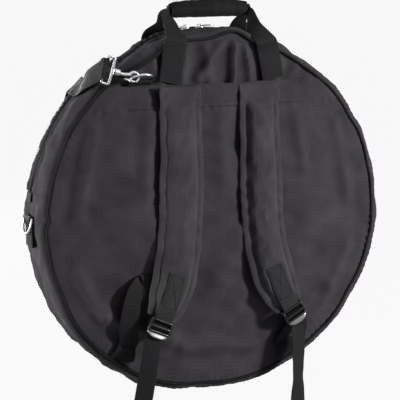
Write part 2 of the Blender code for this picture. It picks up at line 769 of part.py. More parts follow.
def strap_root(side):
    """The strap's first points, a thin tongue that folds over the pocket's hem."""
    edge = math.hypot(STRAP_X - STRAP_WIDTH / 2, HEM_HEIGHT)
    base = back_out(edge) + 3 * FIT + WEBBING_WALL + STRAP_TONGUE_GAP
    high = HEM_HEIGHT + STRAP_TONGUE_RISE
    stand = STRAP_STAND * STRAP_SHARES[0][3]
    thin = STRAP_WALL * 0.3
    width = STRAP_WIDTH * STRAP_SHARES[0][2]
    return [
        (back_point(side * STRAP_X, base, high), width, thin),
        (back_point(side * STRAP_X, (base + stand) / 2, high + thin / 2), width, thin),
        (back_point(side * STRAP_X, stand - thin, high), width, thin),
    ]


def along_strap(side, share):
    """A place on a strap by its share of the stations' run, with the way ahead, across and out."""
    points = [point for point, _, _ in strap_stations(side)]
    lengths = [0]
    for one, two in zip(points, points[1:]):
        lengths.append(lengths[-1] + (two - one).length)
    target = lengths[-1] * share
    for i in range(len(points) - 1):
        if lengths[i + 1] >= target or i == len(points) - 2:
            part = (target - lengths[i]) / (lengths[i + 1] - lengths[i])
            point = points[i].lerp(points[i + 1], part)
            ahead = (points[i + 1] - points[i]).normalized()
            break
    across = Vector((1, 0, 0))
    across = (across - ahead * across.dot(ahead)).normalized()
    out = across.cross(ahead).normalized()
    if out.y > 0:
        out = -out
    return point, ahead, across, out, lengths[-1]


def make_strap(name, side, anchor_angle, slack):
    """A padded backpack strap with its patch, ladder lock, tail, lower webbing and anchor."""
    run = strap_root(side) + strap_stations(side)
    path = [point for point, _, _ in run]
    width = [w for _, w, _ in run]
    wall = [t for _, _, t in run]
    webbing(f"strap_{name}", path, Vector((1, 0, 0)), CLOTH, width, wall, PAD_SECTION_SHARES)

    end, ahead, across, out, length = along_strap(side, 1)
    place = Matrix.Translation(end) @ Matrix((across, ahead, out)).transposed().to_4x4()
    web = STRAP_WEBBING_WALL

    def local(y, z):
        return end + ahead * y + out * z

    patch = []
    for share in (1, 0.6, 0.25):
        point, _, _, normal, _ = along_strap(side, 1 - PATCH_LENGTH / length * share)
        patch.append(point + normal * (STRAP_WALL / 2 + FIT + web / 2))
    bar = LOCK_WALL / 2 + 2 * FIT + web / 2
    first_bar = LOCK_START + LOCK_TOP_BAR
    patch += [
        local(-LOCK_START, STRAP_WALL * 0.5),
        local(first_bar - LOCK_TOP_BAR / 2, bar + FIT),
        local(first_bar + web * 0.75, bar * 0.75),
        local(first_bar + web * 1.05, 0),
        local(first_bar + web * 0.75, -bar * 0.75),
        local(first_bar - LOCK_TOP_BAR / 2, -bar - FIT),
        local(0, -bar - FIT),
    ]
    webbing(f"strap_{name}_patch", patch, across, width=STRAP_WEBBING_WIDTH, wall=web)

    slot_one = first_bar
    slot_one_end = slot_one + LOCK_FIRST_SLOT
    slot_two = slot_one_end + LOCK_MIDDLE_BAR
    slot_two_end = slot_two + LOCK_SECOND_SLOT
    lock_end = slot_two_end + LOCK_TAB
    half = LOCK_WIDTH / 2
    outline = [
        (-half, LOCK_START),
        (half, LOCK_START),
        (half, slot_two_end + LOCK_BEVEL),
        (half * 0.7, lock_end),
        (-half * 0.7, lock_end),
        (-half, slot_two_end + LOCK_BEVEL),
    ]
    rings = [[Vector((x, y, z)) for x, y in outline] for z in (-LOCK_WALL / 2, LOCK_WALL / 2)]
    lock = sweep(f"ladder_lock_{name}", rings, PLASTIC, place)
    for number, (low, high) in enumerate(((slot_one, slot_one_end), (slot_two, slot_two_end))):
        slot_half = LOCK_SLOT_WIDTH / 2
        cutter = box_cutter(
            f"lock_{name}_slot_{number}",
            (-slot_half, low, -LOCK_WALL),
            (slot_half, high, LOCK_WALL),
            place,
        )
        combine(lock, cutter, "DIFFERENCE")

    middle = slot_one_end + LOCK_MIDDLE_BAR / 2
    into_two = slot_two + LOCK_SECOND_SLOT / 2
    tail = [
        local(middle + FIT, bar),
        local(slot_two - web * 0.3, bar),
        local(into_two - web * 0.2, bar * 0.6),
        local(into_two, 0),
        local(into_two + web * 0.2, -bar * 0.6),
        local(slot_two_end + web * 0.3, -bar - FIT),
        local(lock_end, -bar - FIT),
        local(lock_end + web * 4, -bar - FIT),
    ]
    start = tail[-1]
    for share in (0.12, 0.3, 0.5, 0.75, 1):
        tail.append(start + Vector((side * TAIL_DRIFT * share, 0, -TAIL_LENGTH * share)))
    webbing(f"strap_{name}_tail", tail, across, width=STRAP_WEBBING_WIDTH, wall=web)

    angle = math.radians(180 - side * anchor_angle)
    foot_radius = pocket_radius() - FIT
    head_radius = foot_radius - ANCHOR_LENGTH
    foot, head = [
        round_point(radius, angle, -HALF_DEPTH - pocket_out(radius) - FIT - ANCHOR_WALL / 2)
        for radius in (foot_radius - PIPING_RADIUS, head_radius)
    ]
    tangent = Vector((math.cos(angle), 0, -math.sin(angle)))
    if tangent.x < 0:
        tangent = -tangent
    webbing(
        f"strap_{name}_anchor",
        [foot, foot.lerp(head, 0.5), head],
        tangent,
        width=[ANCHOR_WIDTH, (ANCHOR_WIDTH + STRAP_WEBBING_WIDTH) / 2, STRAP_WEBBING_WIDTH],
        wall=ANCHOR_WALL,
    )

    inward = (head - foot).normalized()
    into = slot_one_end - LOCK_FIRST_SLOT * 0.27
    lower = [
        local(middle - FIT, bar),
        local(slot_one_end + web * 0.3, bar),
        local(into + web * 0.2, bar * 0.6),
        local(into, 0),
        local(into, -bar),
    ]
    begin = head + inward * (FIT + web) + Vector((0, -web, 0))
    if slack:
        lower.append(local(-web, -STRAP_WALL * 0.95))
        base_out = -HALF_DEPTH - begin.y
        for way, rise, out_share in SLACK_SHARES:
            point = lower[4].lerp(begin, way)
            point.z = lower[4].z + (begin.z - lower[4].z) * way * (1 - rise) + LOOP_RISE * rise
            point.y = -HALF_DEPTH - base_out - (STRAP_STAND - base_out) * out_share
            lower.append(point)
    else:
        lower += [
            local(slot_two, -bar * 3),
            local(lock_end, -bar * 3.6),
        ]
    lower += [begin + inward * web * 4 - Vector((0, web, 0)), begin]
    acrosses = [across] * (len(lower) - 3) + [(across + tangent).normalized(), tangent, tangent]
    webbing(f"strap_{name}_lower_webbing", lower, acrosses, width=STRAP_WEBBING_WIDTH, wall=web)
    return end


def snap_hook(prefix, eye, back, side, loop_turn=0):
    """A snap hook: eye is the middle of its hook, back points to its strap loop, side to its gate."""
    normal = back.cross(side)
    place = Matrix.Translation(eye) @ Matrix((back, side, normal)).transposed().to_4x4()
    radius = HOOK_EYE_RADIUS
    start = math.radians(HOOK_EYE_START)
    sweep_angle = math.radians(HOOK_EYE_SWEEP)
    bend = [start + sweep_angle * (1 - i / 9) for i in range(10)]
    hook = [Vector((radius * math.cos(a), -radius * math.sin(a), 0)) for a in bend]
    hook_radii = [0.8 + 0.25 * i / 9 for i in range(10)]
    root = hook[-1]
    neck = Vector((HOOK_SHANK_LENGTH * 0.55 + radius * 0.2, -radius * 0.05, 0))
    shank_end = Vector((radius + HOOK_SHANK_LENGTH - HOOK_BARREL_LENGTH, 0, 0))
    barrel_end = shank_end + Vector((HOOK_BARREL_LENGTH, 0, 0))
    thick = HOOK_BARREL_RADIUS / HOOK_WIRE
    points = hook + [
        root.lerp(neck, 0.6),
        neck,
        shank_end,
        shank_end + Vector((FIT * 4, 0, 0)),
        barrel_end - Vector((FIT * 4, 0, 0)),
        barrel_end,
    ]
    radii = hook_radii + [1.15, 1.0, 1.0, thick, thick, thick * 0.8]
    wire(f"{prefix}_body", points, HOOK_WIRE, CHROME, resolution=2, radii=radii, place=place)

    corner = HOOK_LOOP_CORNER
    centre_x = barrel_end.x + FIT + HOOK_WIRE + HOOK_LOOP_WIDTH / 2
    half_x, half_y = HOOK_LOOP_WIDTH / 2 - corner, HOOK_LOOP_LENGTH / 2 - corner
    loop = []
    for quarter, (sx, sy) in enumerate(((1, 1), (-1, 1), (-1, -1), (1, -1))):
        for step in range(4):
            turn = math.pi / 2 * (quarter + step / 3)
            x = centre_x + sx * half_x + corner * math.cos(turn)
            loop.append(Vector((x, sy * half_y + corner * math.sin(turn), 0)))
    turned_place = place @ Matrix.Rotation(math.radians(loop_turn), 4, "X")
    wire(f"{prefix}_loop", loop, HOOK_WIRE, CHROME, closed=True, resolution=2, place=turned_place)

    tip = hook[0]
    gate_y = max(tip.y, HOOK_WIRE + GATE_RADIUS + FIT * 2)
    gate_start = tip.x + HOOK_WIRE / 2 + 2 * FIT
    gate = [Vector((gate_start + GATE_LENGTH * s, gate_y, 0)) for s in (0, 0.3, 0.35, 0.5, 0.55, 1)]
    thumb = THUMB_RADIUS / GATE_RADIUS
    wire(f"{prefix}_gate", gate, GATE_RADIUS, CHROME, radii=[0.8, 1, thumb, thumb, 1, 1], place=place)
    return eye + back * (centre_x + HOOK_LOOP_WIDTH / 2)


def turn_back(bar, away, out, along):
    """A strap's end folded back round a hook's bar: its points from the loose end, leaving away."""
    radius = HOOK_WIRE + FIT + SHOULDER_WALL / 2
    points = [bar + away * SHOULDER_TURN_BACK + out * (radius * -0.75), bar - out * radius]
    for i in range(1, 6):
        angle = math.pi * i / 6
        points.append(bar - out * radius * math.cos(angle) - away * radius * math.sin(angle))
    points += [bar + out * radius, bar + away * SHOULDER_TURN_BACK + out * radius * 0.75]
    return points, [along] * len(points)


def front_line(share):
    """Middle of the shoulder strap on the front at a share of its line from left to right."""
    ends = [
        round_point(SEAM_RADIUS, math.radians(angle), HALF_DEPTH)
        for angle in (LEFT_CROSSING_ANGLE, RIGHT_CROSSING_ANGLE)
    ]
    point = ends[0].lerp(ends[1], share)
    over = 2 * PIPING_RADIUS + 2 * FIT if min(share, 1 - share) < PIPING_REACH_SHARE else 0
    first, last = POCKET_REACH_SHARES
    pocket = FRONT_POCKET_DEPTH + FRONT_POCKET_WALL if first < share < last else 0
    point.y += SHOULDER_WALL / 2 + 2 * FIT + max(over, pocket)
    return point


def make_left_hook(place):
    """The snap hook on the hem's D-ring: its loop lies out over the bag's edge."""
    bar, bow = place
    arm = RING_WIDTH / 2 - RING_WIRE
    along, out = LEFT_EYE_SHARES
    eye = bar + Vector((arm * along, 0, 0)) + bow * (RING_REACH - arm + arm * out)
    back = Vector(LEFT_BACK_SHARES).normalized()
    side = Vector((0, 0, -1))
    side = (side - back * side.dot(back)).normalized()
    return snap_hook("snap_hook_left", eye, back, side), back, side


def make_edge_strap(place, wide):
    """The shoulder strap's end on the left hook, carried over the side onto the front."""
    loop_bar, back, side = make_left_hook(place)
    out = side.cross(back)
    if out.y > 0:
        out = -out
    path, across = turn_back(loop_bar, back, out, side)
    angle = math.radians(LEFT_CROSSING_ANGLE)
    chord = Vector((math.cos(angle), 0, -math.sin(angle)))
    for y_share, radius_share in EDGE_SHARES:
        path.append(round_point((SIDE_RADIUS + SHOULDER_LIFT) * radius_share, angle, HALF_DEPTH * y_share))
        across.append(-chord)
    path += [front_line(0) + Vector((0, SHOULDER_WALL, 0)), front_line(FRONT_START_SHARE)]
    across += [-(chord + wide) / 2, -wide]
    webbing("shoulder_strap_over_edge", path, across, width=SHOULDER_WIDTH, wall=SHOULDER_WALL)


def make_adjuster(line, wide):
    """Three-bar slide on the shoulder strap."""
    middle = front_line(ADJUSTER_SHARE)
    out = line.cross(wide)
    place = Matrix.Translation(middle) @ Matrix((line, wide, out)).transposed().to_4x4()
    half_length, half_width = ADJUSTER_LENGTH / 2, ADJUSTER_WIDTH / 2
    sign = 1 if out.y > 0 else -1
    base = SHOULDER_WALL / 2 + 2 * FIT
    rings = []
    for z in (base, base + ADJUSTER_WALL):
        corners = ((1, 1), (-1, 1), (-1, -1), (1, -1))
        rings.append([Vector((x * half_length, y * half_width, sign * z)) for x, y in corners])
    adjuster = sweep("strap_adjuster", rings, PLASTIC, place)
    reach = SHOULDER_WIDTH / 2 + FIT * 3
    far = half_length - ADJUSTER_BAR * 0.7
    for number, (low, high) in enumerate(((-far, -ADJUSTER_BAR / 2), (ADJUSTER_BAR / 2, far))):
        near, over = (low, -reach, -OVERRUN * 2), (high, reach, OVERRUN * 2)
        cutter = box_cutter(f"adjuster_slot_{number}", near, over, place)
        combine(adjuster, cutter, "DIFFERENCE")


def make_lower_strap(place, wide, fold_end):
    """The shoulder strap's other end: across the pocket, round the side and up to the right hook."""
    bar, bow = place
    arm = RING_WIDTH / 2 - RING_WIRE
    along_share, out_share = RIGHT_EYE_SHARES
    eye = bar + Vector((0, arm * along_share, 0)) + bow * (RING_REACH - arm + arm * out_share)
    back, side = Vector(RIGHT_BACK_SHARES).normalized(), Vector(RIGHT_SIDE_SHARES)
    side = (side - back * side.dot(back)).normalized()
    loop_bar = snap_hook("snap_hook_right", eye, back, side, RIGHT_LOOP_TURN)
    along = Matrix.Rotation(math.radians(RIGHT_LOOP_TURN), 3, back) @ side
    path, across = turn_back(loop_bar, back, along.cross(back), along)
    angle = math.radians(RIGHT_CROSSING_ANGLE)
    over = round_point(SIDE_RADIUS + SHOULDER_LIFT * 1.6, angle, HALF_DEPTH)
    piping = 2 * PIPING_RADIUS + 3 * SHOULDER_WALL
    path += [
        path[-1].lerp(over, 0.5) + Vector((SHOULDER_LIFT * 0.3, 0, 0)),
        over,
        round_point(SIDE_RADIUS, angle, HALF_DEPTH + piping),
        front_line(FRONT_END_SHARE),
    ]
    across += [Vector((-0.1, 0.8, 0.3)), Vector((-0.25, 0.55, 0.6)), wide + Vector((0, 0.25, 0)), wide]
    path += [front_line(share) for share in (*LOWER_SHARES, fold_end)]
    across += [wide] * (len(path) - len(across))
    webbing("shoulder_strap_lower", path, across, width=SHOULDER_WIDTH, wall=SHOULDER_WALL)


def make_shoulder_strap(places):
    """Webbing shoulder strap from the hem's hook over the side, across the front, to the right hook."""
    first, last = front_line(0), front_line(1)
    line = (last - first).normalized()
    wide = Vector((line.z, 0, -line.x))
    make_edge_strap(places["hem"], wide)
    length = (last - first).length
    fold = (first.z - (CENTRE.z + ZIP_END_HEIGHT)) / (first.z - last.z)
    clear, gap = FOLD_CLEARANCE / length, FIT / length
    runs = {
        "shoulder_strap_front": (FRONT_START_SHARE + gap, *FRONT_SHARES, fold - clear),
        "shoulder_strap_fold": (fold - clear + gap, fold, fold + clear - gap),
    }
    for name, shares in runs.items():
        path = [front_line(share) for share in shares]
        webbing(name, path, wide, width=SHOULDER_WIDTH, wall=SHOULDER_WALL)
    make_adjuster(line, wide)
    make_lower_strap(places["right"], wide, fold + clear)


def main():
    """Clear the scene and make every piece of the bag."""
    for piece in list(bpy.data.objects):
        bpy.data.objects.remove(piece)
    make_back()
    make_side()
    make_front()
    make_dividers()
    make_front_pocket()
    make_handle("handle_back", False)
    make_handle("handle_front", True)
    make_grip()
    places = make_rings()
    slider("slider_left", LEFT_SLIDER_ANGLE, -1)
    slider("slider_right", RIGHT_SLIDER_ANGLE, 1)
    make_strap("left", -1, LEFT_ANCHOR_ANGLE, True)
    make_strap("right", 1, RIGHT_ANCHOR_ANGLE, False)
    make_shoulder_strap(places)


main()
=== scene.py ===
"""Looks of the cymbal bag: cloth, webbing, zip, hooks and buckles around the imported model.

Metres, +Z up, in the model's own frame: the origin is the middle of the grip, the back with the
padded straps faces -Y, the front that opens faces +Y. Heights are counted from the bag's centre,
which hangs GRIP_RISE below the grip. Angles round the bag start at its top and turn towards +X.
Every surface is a grid of points worked out with numpy from two parameters.
"""

import math

import bpy
import numpy as np
from mathutils import Matrix, Vector


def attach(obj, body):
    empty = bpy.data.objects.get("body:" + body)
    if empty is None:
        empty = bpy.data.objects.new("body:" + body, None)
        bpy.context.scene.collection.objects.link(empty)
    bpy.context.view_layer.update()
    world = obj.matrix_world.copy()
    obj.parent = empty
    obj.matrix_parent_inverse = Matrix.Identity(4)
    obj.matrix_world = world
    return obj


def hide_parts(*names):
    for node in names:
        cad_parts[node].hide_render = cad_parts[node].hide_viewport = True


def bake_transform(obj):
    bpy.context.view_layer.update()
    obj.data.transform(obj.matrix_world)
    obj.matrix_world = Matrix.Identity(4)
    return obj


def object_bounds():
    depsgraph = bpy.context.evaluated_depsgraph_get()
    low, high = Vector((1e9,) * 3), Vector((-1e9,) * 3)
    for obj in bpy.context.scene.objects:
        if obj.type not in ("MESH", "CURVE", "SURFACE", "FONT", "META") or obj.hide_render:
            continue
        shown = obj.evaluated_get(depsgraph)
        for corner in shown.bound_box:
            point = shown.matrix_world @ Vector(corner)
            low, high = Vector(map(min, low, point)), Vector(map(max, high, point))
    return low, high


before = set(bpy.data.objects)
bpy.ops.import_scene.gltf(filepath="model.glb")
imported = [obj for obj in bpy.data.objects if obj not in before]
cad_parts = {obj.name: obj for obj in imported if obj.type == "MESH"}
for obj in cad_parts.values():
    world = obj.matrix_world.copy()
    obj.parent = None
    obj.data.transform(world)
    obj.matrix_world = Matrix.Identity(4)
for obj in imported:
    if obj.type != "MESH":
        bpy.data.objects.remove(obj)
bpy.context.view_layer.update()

# Bag body, as the model has it
GRIP_RISE = 0.328
SEAM_RADIUS = 0.284
SIDE_RADIUS = 0.296
HALF_DEPTH = 0.043
SHOULDER = 0.014
PANEL_WALL = 0.007
SIDE_WALL = 0.005
BACK_CROWN = 0.014
CROWN_POWER = 2.5
PIPING_RADIUS = 0.0025
CENTRE = np.array([0.0, 0.0, -GRIP_RISE])
# Gap left between pieces that touch
CLEARANCE = 0.0003

# Stow pocket
POCKET_RADIUS = 0.2812
POCKET_CROWN = 0.011
POCKET_WALL = 0.002
POCKET_SEAT = 0.0008
HEM_HEIGHT = 0.213
HEM_DEPTH = 0.037
HEM_RISE = 0.0010
HEM_ROW_GAP = 0.007
HEM_ROW_SINK = 0.0007

# Zip
ZIP_Y = 0.014
ZIP_GAP = 0.012
ZIP_END_HEIGHT = 0.047
ZIP_END_ANGLE = math.degrees(math.acos(ZIP_END_HEIGHT / SIDE_RADIUS))
COIL_PITCH = 0.0028
COIL_GAP = 0.0002
COIL_HALF = 0.0031
COIL_RISE = 0.0042
ZIP_STOP_LENGTH = 0.0145
ZIP_STOP_WIDTH = 0.021
ZIP_STOP_WALL = 0.0026
ZIP_STOP_SHARES = (-0.1, 0.35, 0.7, 0.92)
TAPE_WALL = 0.001
TAPE_WIDTH = 0.014
TOPSTITCH_INSET = 0.0065

# Webbing handles and the wrap round them
WEBBING_WIDTH = 0.038
WEBBING_WALL = 0.0022
# Each leg: how far out its foot and its head lie, for the left and the right
LEG_PLACES = {-1: (0.082, 0.068), 1: (0.098, 0.087)}
# How far each leg leans in at the grip, halfway and over the edge, and how much of its fold it keeps
LEG_LEANS = {
    (False, -1): (-0.003, 0.0, 0.0, 0.6),
    (True, -1): (0.005, 0.0085, 0.0, 0.6),
    (False, 1): (0.003, 0.0065, 0.003, 1.0),
    (True, 1): (0.003, 0.008, 0.0, 0.5),
}
LEG_FOOT_DROP = 0.003
# Where a leg passes over the seam: how far out of it and above it
LEG_EDGE_OUT = 0.0065
LEG_EDGE_RISE = 0.013
FRONT_LEG_LENGTH = 0.075
GRIP_LENGTH = 0.134
GRIP_RADIUS = 0.0130
GRIP_WALL = 0.0024
GRIP_START = 70.0
GRIP_TURN = 400.0
GRIP_SHIFT = 0.007
GRIP_BELLY = 0.0017
GRIP_DROP = 0.0022
HANDLE_FOLD_WIDTH = 0.012
HANDLE_FOLD_WALL = 0.0040

# Dividers and front pocket
DIVIDER_RADIUS = 0.268
DIVIDER_DROP = 0.0227
DIVIDER_WALL = 0.003
DIVIDER_SPACING = 0.024
DIVIDER_TOP_SHARE = 0.86
FRONT_POCKET_RADIUS = 0.205
FRONT_POCKET_DEPTH = 0.020
FRONT_POCKET_TOP = -0.012
FRONT_POCKET_WALL = 0.002
FRONT_POCKET_SCOOP = 0.018
POCKET_BINDING_WIDTH = 0.012
POCKET_BINDING_WALL = 0.0013

# D-rings and their tabs
RING_WIDTH = 0.043
RING_REACH = 0.026
RING_WIRE = 0.002
# Half the width of a ring's bow, in the middle of its wire
RING_ARM = RING_WIDTH / 2 - RING_WIRE
TAB_WIDTH = 0.034
HEM_TAB_WIDTH = 0.038
TAB_WALL = 0.0018
HEM_RING_X = -0.131
HEM_RING_LIFT = 0.008
HEM_RING_TILT = 62.0
SIDE_RING_HEIGHT = 0.008
SIDE_TAB_LENGTH = 0.046
LEFT_RING_TILT = 12.0
RIGHT_RING_TILT = 38.0
RIGHT_RING_Y = 0.018

# Zip sliders and their pulls
LEFT_SLIDER_ANGLE = -5.2
RIGHT_SLIDER_ANGLE = -0.4
SLIDER_LENGTH = 0.015
SLIDER_HEIGHT = 0.0036
PULL_LENGTH = 0.024
PULL_WIDTH = 0.0075
PULL_WIRE = 0.0010
PULL_DROP_LENGTH = 0.009
PULL_DROP_WALL = 0.0012
BRIDGE_WIRE = 0.0009
BRIDGE_RADIUS = 0.0047
# Plates and waist of a slider: from and to above its foot, width, and length as a share
SLIDER_PLATES = (
    (0.0026, 0.0036, 0.0088, 1.0),
    (0.0, 0.0010, 0.0088, 1.0),
    (0.0006, 0.0030, 0.0064, 0.8),
)

# Backpack straps: drop, sway, width, stand and wall of each station, as shares
STRAP_X = 0.068
STRAP_LENGTH = 0.368
STRAP_SWAY = {-1: 0.040, 1: 0.048}
STRAP_WIDTH = 0.076
STRAP_WALL = 0.010
STRAP_STAND = 0.038
STRAP_SHARES = np.array(
    [
        (0.02, 0.0, 0.92, 0.54, 0.9),
        (0.1, 0.0, 0.93, 0.68, 1.0),
        (0.2, 0.0, 0.94, 0.78, 1.0),
        (0.3, 0.0, 0.95, 0.86, 1.0),
        (0.43, 0.03, 1.0, 0.9, 1.0),
        (0.59, 0.08, 0.98, 0.93, 1.0),
        (0.72, 0.2, 0.99, 0.98, 1.0),
        (0.8, 0.34, 1.0, 1.03, 1.0),
        (0.87, 0.51, 0.98, 1.08, 1.0),
        (0.94, 0.75, 0.88, 1.13, 0.9),
        (1.0, 1.0, 0.68, 1.16, 0.6),
    ]
)
STRAP_WEBBING_WIDTH = 0.030
STRAP_WEBBING_WALL = 0.0018
PATCH_LENGTH = 0.076
PATCH_LIFT = 0.0018
LOCK_WIDTH = 0.040
LOCK_WALL = 0.0040
LOCK_START = 0.002
LOCK_TOP_BAR = 0.003
LOCK_FIRST_SLOT = 0.008
LOCK_MIDDLE_BAR = 0.004
LOCK_SECOND_SLOT = 0.005
LOCK_TAB = 0.008
LOCK_FRONT_BAR = 0.0052
# Stations down the lock, from the strap's end
FIRST_BAR_END = LOCK_START + LOCK_TOP_BAR
MIDDLE_BAR_START = FIRST_BAR_END + LOCK_FIRST_SLOT
MIDDLE_BAR_END = MIDDLE_BAR_START + LOCK_MIDDLE_BAR
LAST_BAR_START = MIDDLE_BAR_END + LOCK_SECOND_SLOT
LOCK_END = LAST_BAR_START + LOCK_TAB
LOCK_BAR_WALL = 0.0036
TAB_LIP = 0.004
TAB_BEND = 0.0034
TAB_WIDTH_SHARE = 0.94
TAIL_LENGTH = 0.185
# How far each tail drifts sideways, and how it turns as it falls: share of its drop, angle in radians
TAIL_DRIFTS = {-1: -0.036, 1: -0.0012}
TAIL_TURNS = {
    -1: ((0, 0), (1, 0.25)),
    1: ((0, 0), (0.14, -0.3), (0.3, -0.36), (0.49, -0.5), (0.68, -0.2), (1, -0.05)),
}
ANCHOR_ANGLES = {-1: 36.0, 1: 28.5}
ANCHOR_LENGTH = 0.026
ANCHOR_WIDTH = 0.042
ANCHOR_WALL = 0.003
# The slack lower webbing pulls its anchor's head aside and turns it, and rises in a loop
SLACK_HEAD_SHIFT = (-0.008, 0, 0.002)
SLACK_HEAD_TURN = (0.7, 0, 0)
LOOP_RISE = 0.064
# Slack of the left lower webbing: way to the anchor, rise, distance out and way left, as shares
SLACK_SHARES = (
    (0.06, 0.4, 0.7, 0.0),
    (0.16, 0.85, 0.62, 0.05),
    (0.2, 0.98, 0.57, 0.1),
    (0.27, 1.02, 0.5, 0.25),
    (0.34, 0.96, 0.52, 0.42),
    (0.46, 0.72, 0.6, 0.6),
    (0.7, 0.28, 0.5, 0.5),
)

# Snap hooks and shoulder strap
HOOK_LOOP_LENGTH = 0.0425
HOOK_LOOP_WIDTH = 0.013
HOOK_LOOP_CORNER = 0.004
HOOK_WIRE = 0.0021
HOOK_BARREL_RADIUS = 0.0052
HOOK_BARREL_LENGTH = 0.011
HOOK_SHANK_LENGTH = 0.026
HOOK_EYE_RADIUS = 0.0078
HOOK_EYE_START = 20.0
HOOK_EYE_SWEEP = 215.0
LEFT_EYE_SHARES = (-0.82, 0.57)
LEFT_BACK_SHARES = (-0.955, 0.06, 0.29)
RIGHT_EYE_SHARES = (0.82, 0.57)
RIGHT_BACK_SHARES = (0, 0.25, -0.97)
RIGHT_SIDE_SHARES = (0.818, 0.561, 0.145)
RIGHT_LOOP_TURN = -55.0
RIGHT_TWIST = ((-0.1, 0.8, 0.3), (-0.25, 0.55, 0.6))
GATE_RADIUS = 0.0017
GATE_LENGTH = 0.017
# Bolt gate with its thumb knob: place along it and radius, as shares
GATE_SHARES = (
    (0, 0.8),
    (0.08, 1),
    (0.26, 1),
    (0.28, 1.5),
    (0.31, 1.85),
    (0.5, 1.8),
    (0.54, 1.5),
    (0.56, 1),
    (0.92, 1),
    (1, 0.8),
)
SHOULDER_WIDTH = 0.036
SHOULDER_WALL = 0.0022
SHOULDER_TURN_BACK = 0.016
LEFT_TURN_BACK = 0.004
SHOULDER_LIFT = 0.0125
EDGE_LIFT = 0.0018
LEFT_CROSSING_ANGLE = -48.5
RIGHT_CROSSING_ANGLE = 116.0
FOLD_CLEARANCE = 0.037
# Strap over the top left edge: depth, distance from the bag's axis, and angle round it, in degrees
EDGE_PLACES = (
    (-0.6, 1.032, -43.6),
    (-0.1, 1.004, -45.4),
    (0.3, 1.004, -45.4),
    (0.6, 1.0, -45.2),
    (0.85, 0.992, -45.0),
)
# Ways across the strap where it twists from the left hook to the edge, and its width by the hook as a share
LEFT_TWIST = ((-0.35, -0.35, -0.87), (-0.6, -0.3, -0.74))
HOOK_END_SHARE = 0.92
FRONT_START_SHARE = 0.03
FRONT_END_SHARE = 0.965
PIPING_REACH_SHARE = 0.04
POCKET_REACH_SHARES = (0.55, 0.93)
FRONT_SHARES = (0.06, 0.2)
LOWER_SHARES = (0.93, 0.9, 0.75, 0.6, 0.56, 0.54)
ADJUSTER_SHARE = 0.35
ADJUSTER_LENGTH = 0.028
ADJUSTER_WIDTH = 0.047
ADJUSTER_WALL = 0.0035
ADJUSTER_BAR = 0.005
ADJUSTER_RAIL = 0.004

# Camera: where it stands round the bag, in degrees, and how far its aim lies left of and above the centre
CAMERA_AZIMUTH = -23.0
CAMERA_ELEVATION = 10.4
CAMERA_LENS = 144.45
CAMERA_DISTANCE = 2.6
CAMERA_SHIFT = (0.0235, 0.0215)

# Softboxes: name, place, width and height, watts
SOFTBOXES = (
    ("key_softbox", (1.9, -2.1, 0.35), (0.4, 0.4), 92),
    ("left_softbox", (-2.4, 0.25, -0.45), (0.5, 1.5), 110),
    ("right_softbox", (2.3, 0.9, -0.2), (0.8, 1.2), 6),
    ("rear_softbox", (-0.6, 2.4, -0.1), (1.1, 1.1), 40),
    ("top_strip", (0.9, -1.75, 1.05), (1.4, 0.10), 6),
)
FLOOR_HALF = 40.0
FLOOR_DROP = 0.05
FLOOR_WHITE_SHARE = 0.92

MM = 0.001
# Size of a wave texture, in band spacings, at which its bands lie one spacing apart
BAND_SIZE = 3.14


def linear(code):
    """An sRGB hex colour as linear red, green, blue and 1."""
    values = [int(code[i : i + 2], 16) / 255 for i in (1, 3, 5)]
    return (*[v / 12.92 if v <= 0.04045 else ((v + 0.055) / 1.055) ** 2.4 for v in values], 1.0)


def tuned(node, **settings):
    """Set a node's properties or input values: an underscore stands for a space in an input's name."""
    for name, value in settings.items():
        if name in node.bl_rna.properties:
            setattr(node, name, value)
        else:
            node.inputs[name.replace("_", " ")].default_value = value
    return node


def add(tree, kind, links=None, **settings):
    """Add a node with its settings: links gives the sockets that feed its inputs."""
    node = tuned(tree.nodes.new(kind), **settings)
    for name, socket in (links or {}).items():
        tree.links.new(socket, node.inputs[name])
    return node


def start_material(name):
    """An empty node material with its Principled shader."""
    material = bpy.data.materials.new(name)
    material.use_nodes = True
    return material, material.node_tree, material.node_tree.nodes["Principled BSDF"]


def uv_pattern(tree, kind, size, **settings):
    """A texture read on the piece's own UV map, which is in metres: size is the pattern's repeat."""
    place = add(tree, "ShaderNodeUVMap", uv_map="metres")
    scaled = add(tree, "ShaderNodeVectorMath", {0: place.outputs["UV"]}, operation="SCALE", Scale=1 / size)
    return add(tree, kind, {"Vector": scaled.outputs["Vector"]}, **settings)


def mixed(tree, factor, low, high):
    """A colour between two, by a factor."""
    node = add(tree, "ShaderNodeMix", {"Factor": factor}, data_type="RGBA")
    node.inputs[6].default_value = linear(low)
    node.inputs[7].default_value = linear(high)
    return node.outputs[2]


def ranged(tree, value, low, high, from_low=0.0, from_high=1.0):
    """A value moved from one range into another."""
    ends = {"To_Min": low, "To_Max": high, "From_Min": from_low, "From_Max": from_high}
    return add(tree, "ShaderNodeMapRange", {"Value": value}, **ends).outputs["Result"]


def bumped(tree, shader, layers):
    """Stack bumps on a shader: each layer is a height, its strength and its depth in metres."""
    normal = None
    for height, strength, depth in layers:
        links = {"Height": height}
        if normal is not None:
            links["Normal"] = normal
        normal = add(tree, "ShaderNodeBump", links, Strength=strength, Distance=depth).outputs["Normal"]
    tree.links.new(normal, shader.inputs["Normal"])


